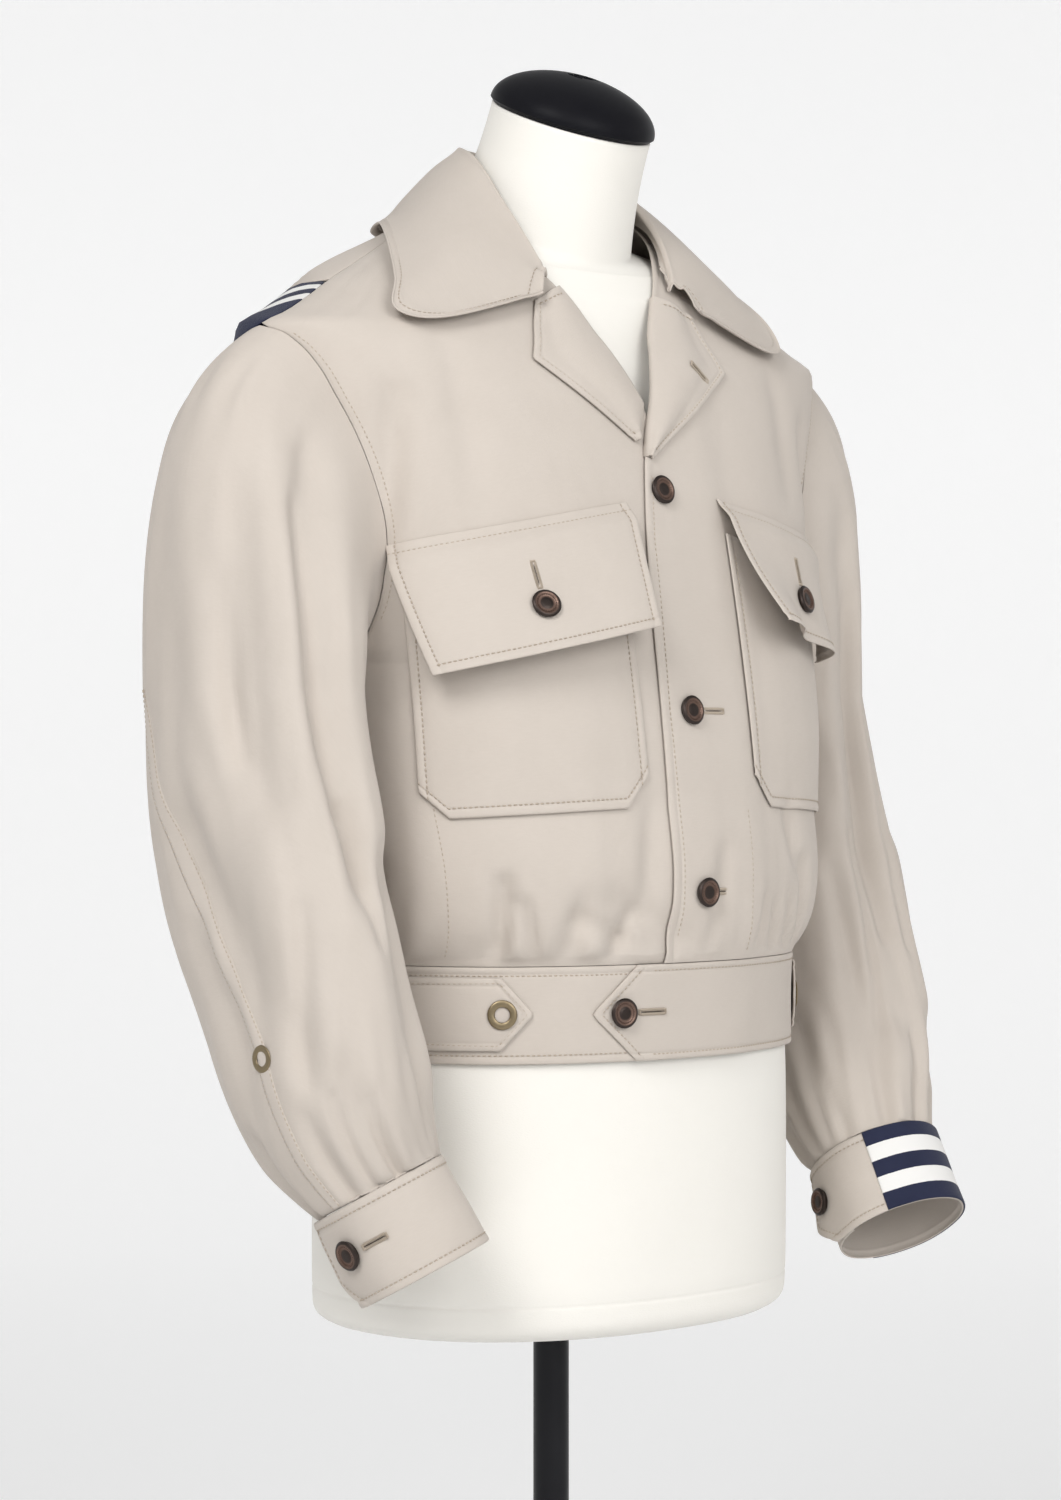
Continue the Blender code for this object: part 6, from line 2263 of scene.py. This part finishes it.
class JacketColours(bpy.types.PropertyGroup):
    """Colours of the cloth, the form and the fittings"""

    cotton: colour_field("Cotton", "Ground colour of the beige twill", COTTON)
    cotton_pale: colour_field("Cotton, pale yarn", "Paler yarn of the beige twill", COTTON_PALE)
    thread: colour_field("Thread", "Sewing thread", THREAD)
    navy: colour_field("Navy", "Dark stripe", NAVY)
    white: colour_field("White", "Pale stripe", WHITE)
    form: colour_field("Form", "Cream jersey of the form", CREAM)
    black: colour_field("Black", "Cap, pole and base", BLACK)
    bronze: colour_field("Bronze", "Dark metal of the buttons", BRONZE)
    copper: colour_field("Copper", "Worn ring of the buttons", COPPER)
    brass: colour_field("Brass", "Metal of the eyelets", BRASS)


class JacketStudio(bpy.types.PropertyGroup):
    """Strengths of the studio's lights and paper"""

    key_power: bpy.props.FloatProperty(
        name="Key light", description="Power of the soft light at the camera's left",
        default=KEY_POWER, min=0.0, unit="POWER",
    )
    fill_power: bpy.props.FloatProperty(
        name="Fill light", description="Power of the weak light at the camera's right",
        default=FILL_POWER, min=0.0, unit="POWER",
    )
    sky: bpy.props.FloatProperty(
        name="Sky", description="Strength of the even light from all round",
        default=SKY_STRENGTH, min=0.0, subtype="FACTOR",
    )
    paper: bpy.props.FloatProperty(
        name="Paper", description="How white the floor and wall are", default=PAPER,
        min=0.0, max=1.0, subtype="FACTOR",
    )


class OBJECT_OT_jacket_panels(bpy.types.Operator):
    """Make the fronts, the back and its striped strips"""

    bl_idname = "object.jacket_panels"
    bl_label = "Body panels"

    def execute(self, context):
        make_back()
        for side in SIDES:
            make_front(side)
            make_strip(side)
        return {"FINISHED"}


class OBJECT_OT_jacket_band(bpy.types.Operator):
    """Make the waistband and its side tabs"""

    bl_idname = "object.jacket_band"
    bl_label = "Waistband and tabs"

    def execute(self, context):
        make_band()
        for side in SIDES:
            make_tab(side)
        return {"FINISHED"}


class OBJECT_OT_jacket_pockets(bpy.types.Operator):
    """Make the chest pockets and their flaps"""

    bl_idname = "object.jacket_pockets"
    bl_label = "Pockets and flaps"

    def execute(self, context):
        for side in SIDES:
            make_pocket(side)
            make_flap(side)
        return {"FINISHED"}


class OBJECT_OT_jacket_collar(bpy.types.Operator):
    """Make the collar and the turned-back lapels"""

    bl_idname = "object.jacket_collar"
    bl_label = "Collar and lapels"

    def execute(self, context):
        make_collar()
        for side in SIDES:
            make_lapel(side)
        return {"FINISHED"}


class OBJECT_OT_jacket_sleeves(bpy.types.Operator):
    """Make the sleeves with their felled seams, the cuffs and the striped facing"""

    bl_idname = "object.jacket_sleeves"
    bl_label = "Sleeves and cuffs"

    def execute(self, context):
        for side in SIDES:
            make_sleeve(side)
            make_sleeve_seam(side)
            make_cuff(side)
        make_cuff_stripe()
        return {"FINISHED"}


class OBJECT_OT_jacket_sewing(bpy.types.Operator):
    """Make the topstitching and the buttonholes"""

    bl_idname = "object.jacket_sewing"
    bl_label = "Sewing"

    def execute(self, context):
        make_stitches()
        make_buttonholes()
        return {"FINISHED"}


class OBJECT_OT_jacket_fittings(bpy.types.Operator):
    """Make the buttons and the eyelets"""

    bl_idname = "object.jacket_fittings"
    bl_label = "Buttons and eyelets"

    def execute(self, context):
        make_buttons()
        make_eyelets()
        return {"FINISHED"}


class OBJECT_OT_jacket_form(bpy.types.Operator):
    """Make the dress form, its cap, its pole and its base"""

    bl_idname = "object.jacket_form"
    bl_label = "Dress form"

    def execute(self, context):
        make_form()
        make_cap()
        make_stand()
        return {"FINISHED"}


class OBJECT_OT_jacket_stage(bpy.types.Operator):
    """Make the camera, the studio paper and the lights"""

    bl_idname = "object.jacket_stage"
    bl_label = "Studio"

    def execute(self, context):
        studio = context.scene.jacket_studio
        make_camera()
        make_backdrop(studio.paper)
        add_area_light("key", KEY_PLACE, KEY_SIZE, studio.key_power)
        add_area_light("fill", FILL_PLACE, FILL_SIZE, studio.fill_power)
        world = bpy.data.worlds.new("studio air")
        world.use_nodes = True
        world.node_tree.nodes["Background"].inputs[0].default_value = (1.0, 1.0, 1.0, 1.0)
        world.node_tree.nodes["Background"].inputs[1].default_value = studio.sky
        context.scene.world = world
        context.scene.view_settings.view_transform = "Standard"
        return {"FINISHED"}


STEPS = (
    OBJECT_OT_jacket_panels,
    OBJECT_OT_jacket_band,
    OBJECT_OT_jacket_pockets,
    OBJECT_OT_jacket_collar,
    OBJECT_OT_jacket_sleeves,
    OBJECT_OT_jacket_sewing,
    OBJECT_OT_jacket_fittings,
    OBJECT_OT_jacket_form,
    OBJECT_OT_jacket_stage,
)
GROUPS = {
    "jacket_sizes": JacketSizes,
    "jacket_colours": JacketColours,
    "jacket_studio": JacketStudio,
}


class VIEW3D_PT_jacket(bpy.types.Panel):
    """Sizes, colours and steps of the jacket"""

    bl_idname = "VIEW3D_PT_jacket"
    bl_label = "Flight jacket"
    bl_space_type = "VIEW_3D"
    bl_region_type = "UI"
    bl_category = "Jacket"

    def draw(self, context):
        for name, group in GROUPS.items():
            box = self.layout.box()
            for field in group.__annotations__:
                box.prop(getattr(context.scene, name), field)
        for step in STEPS:
            self.layout.operator(step.bl_idname)


def register():
    for group in GROUPS.values():
        bpy.utils.register_class(group)
    for name, group in GROUPS.items():
        setattr(bpy.types.Scene, name, bpy.props.PointerProperty(type=group))
    for step in STEPS:
        bpy.utils.register_class(step)
    bpy.utils.register_class(VIEW3D_PT_jacket)


def unregister():
    bpy.utils.unregister_class(VIEW3D_PT_jacket)
    for step in reversed(STEPS):
        bpy.utils.unregister_class(step)
    for name in GROUPS:
        delattr(bpy.types.Scene, name)
    for group in reversed(list(GROUPS.values())):
        bpy.utils.unregister_class(group)


def main():
    """Runs every step in order."""
    register()
    bpy.ops.object.jacket_stage()
    bpy.ops.object.jacket_panels()
    bpy.ops.object.jacket_band()
    bpy.ops.object.jacket_pockets()
    bpy.ops.object.jacket_collar()
    bpy.ops.object.jacket_sleeves()
    bpy.ops.object.jacket_sewing()
    bpy.ops.object.jacket_fittings()
    bpy.ops.object.jacket_form()


if __name__ == "__main__":
    main()
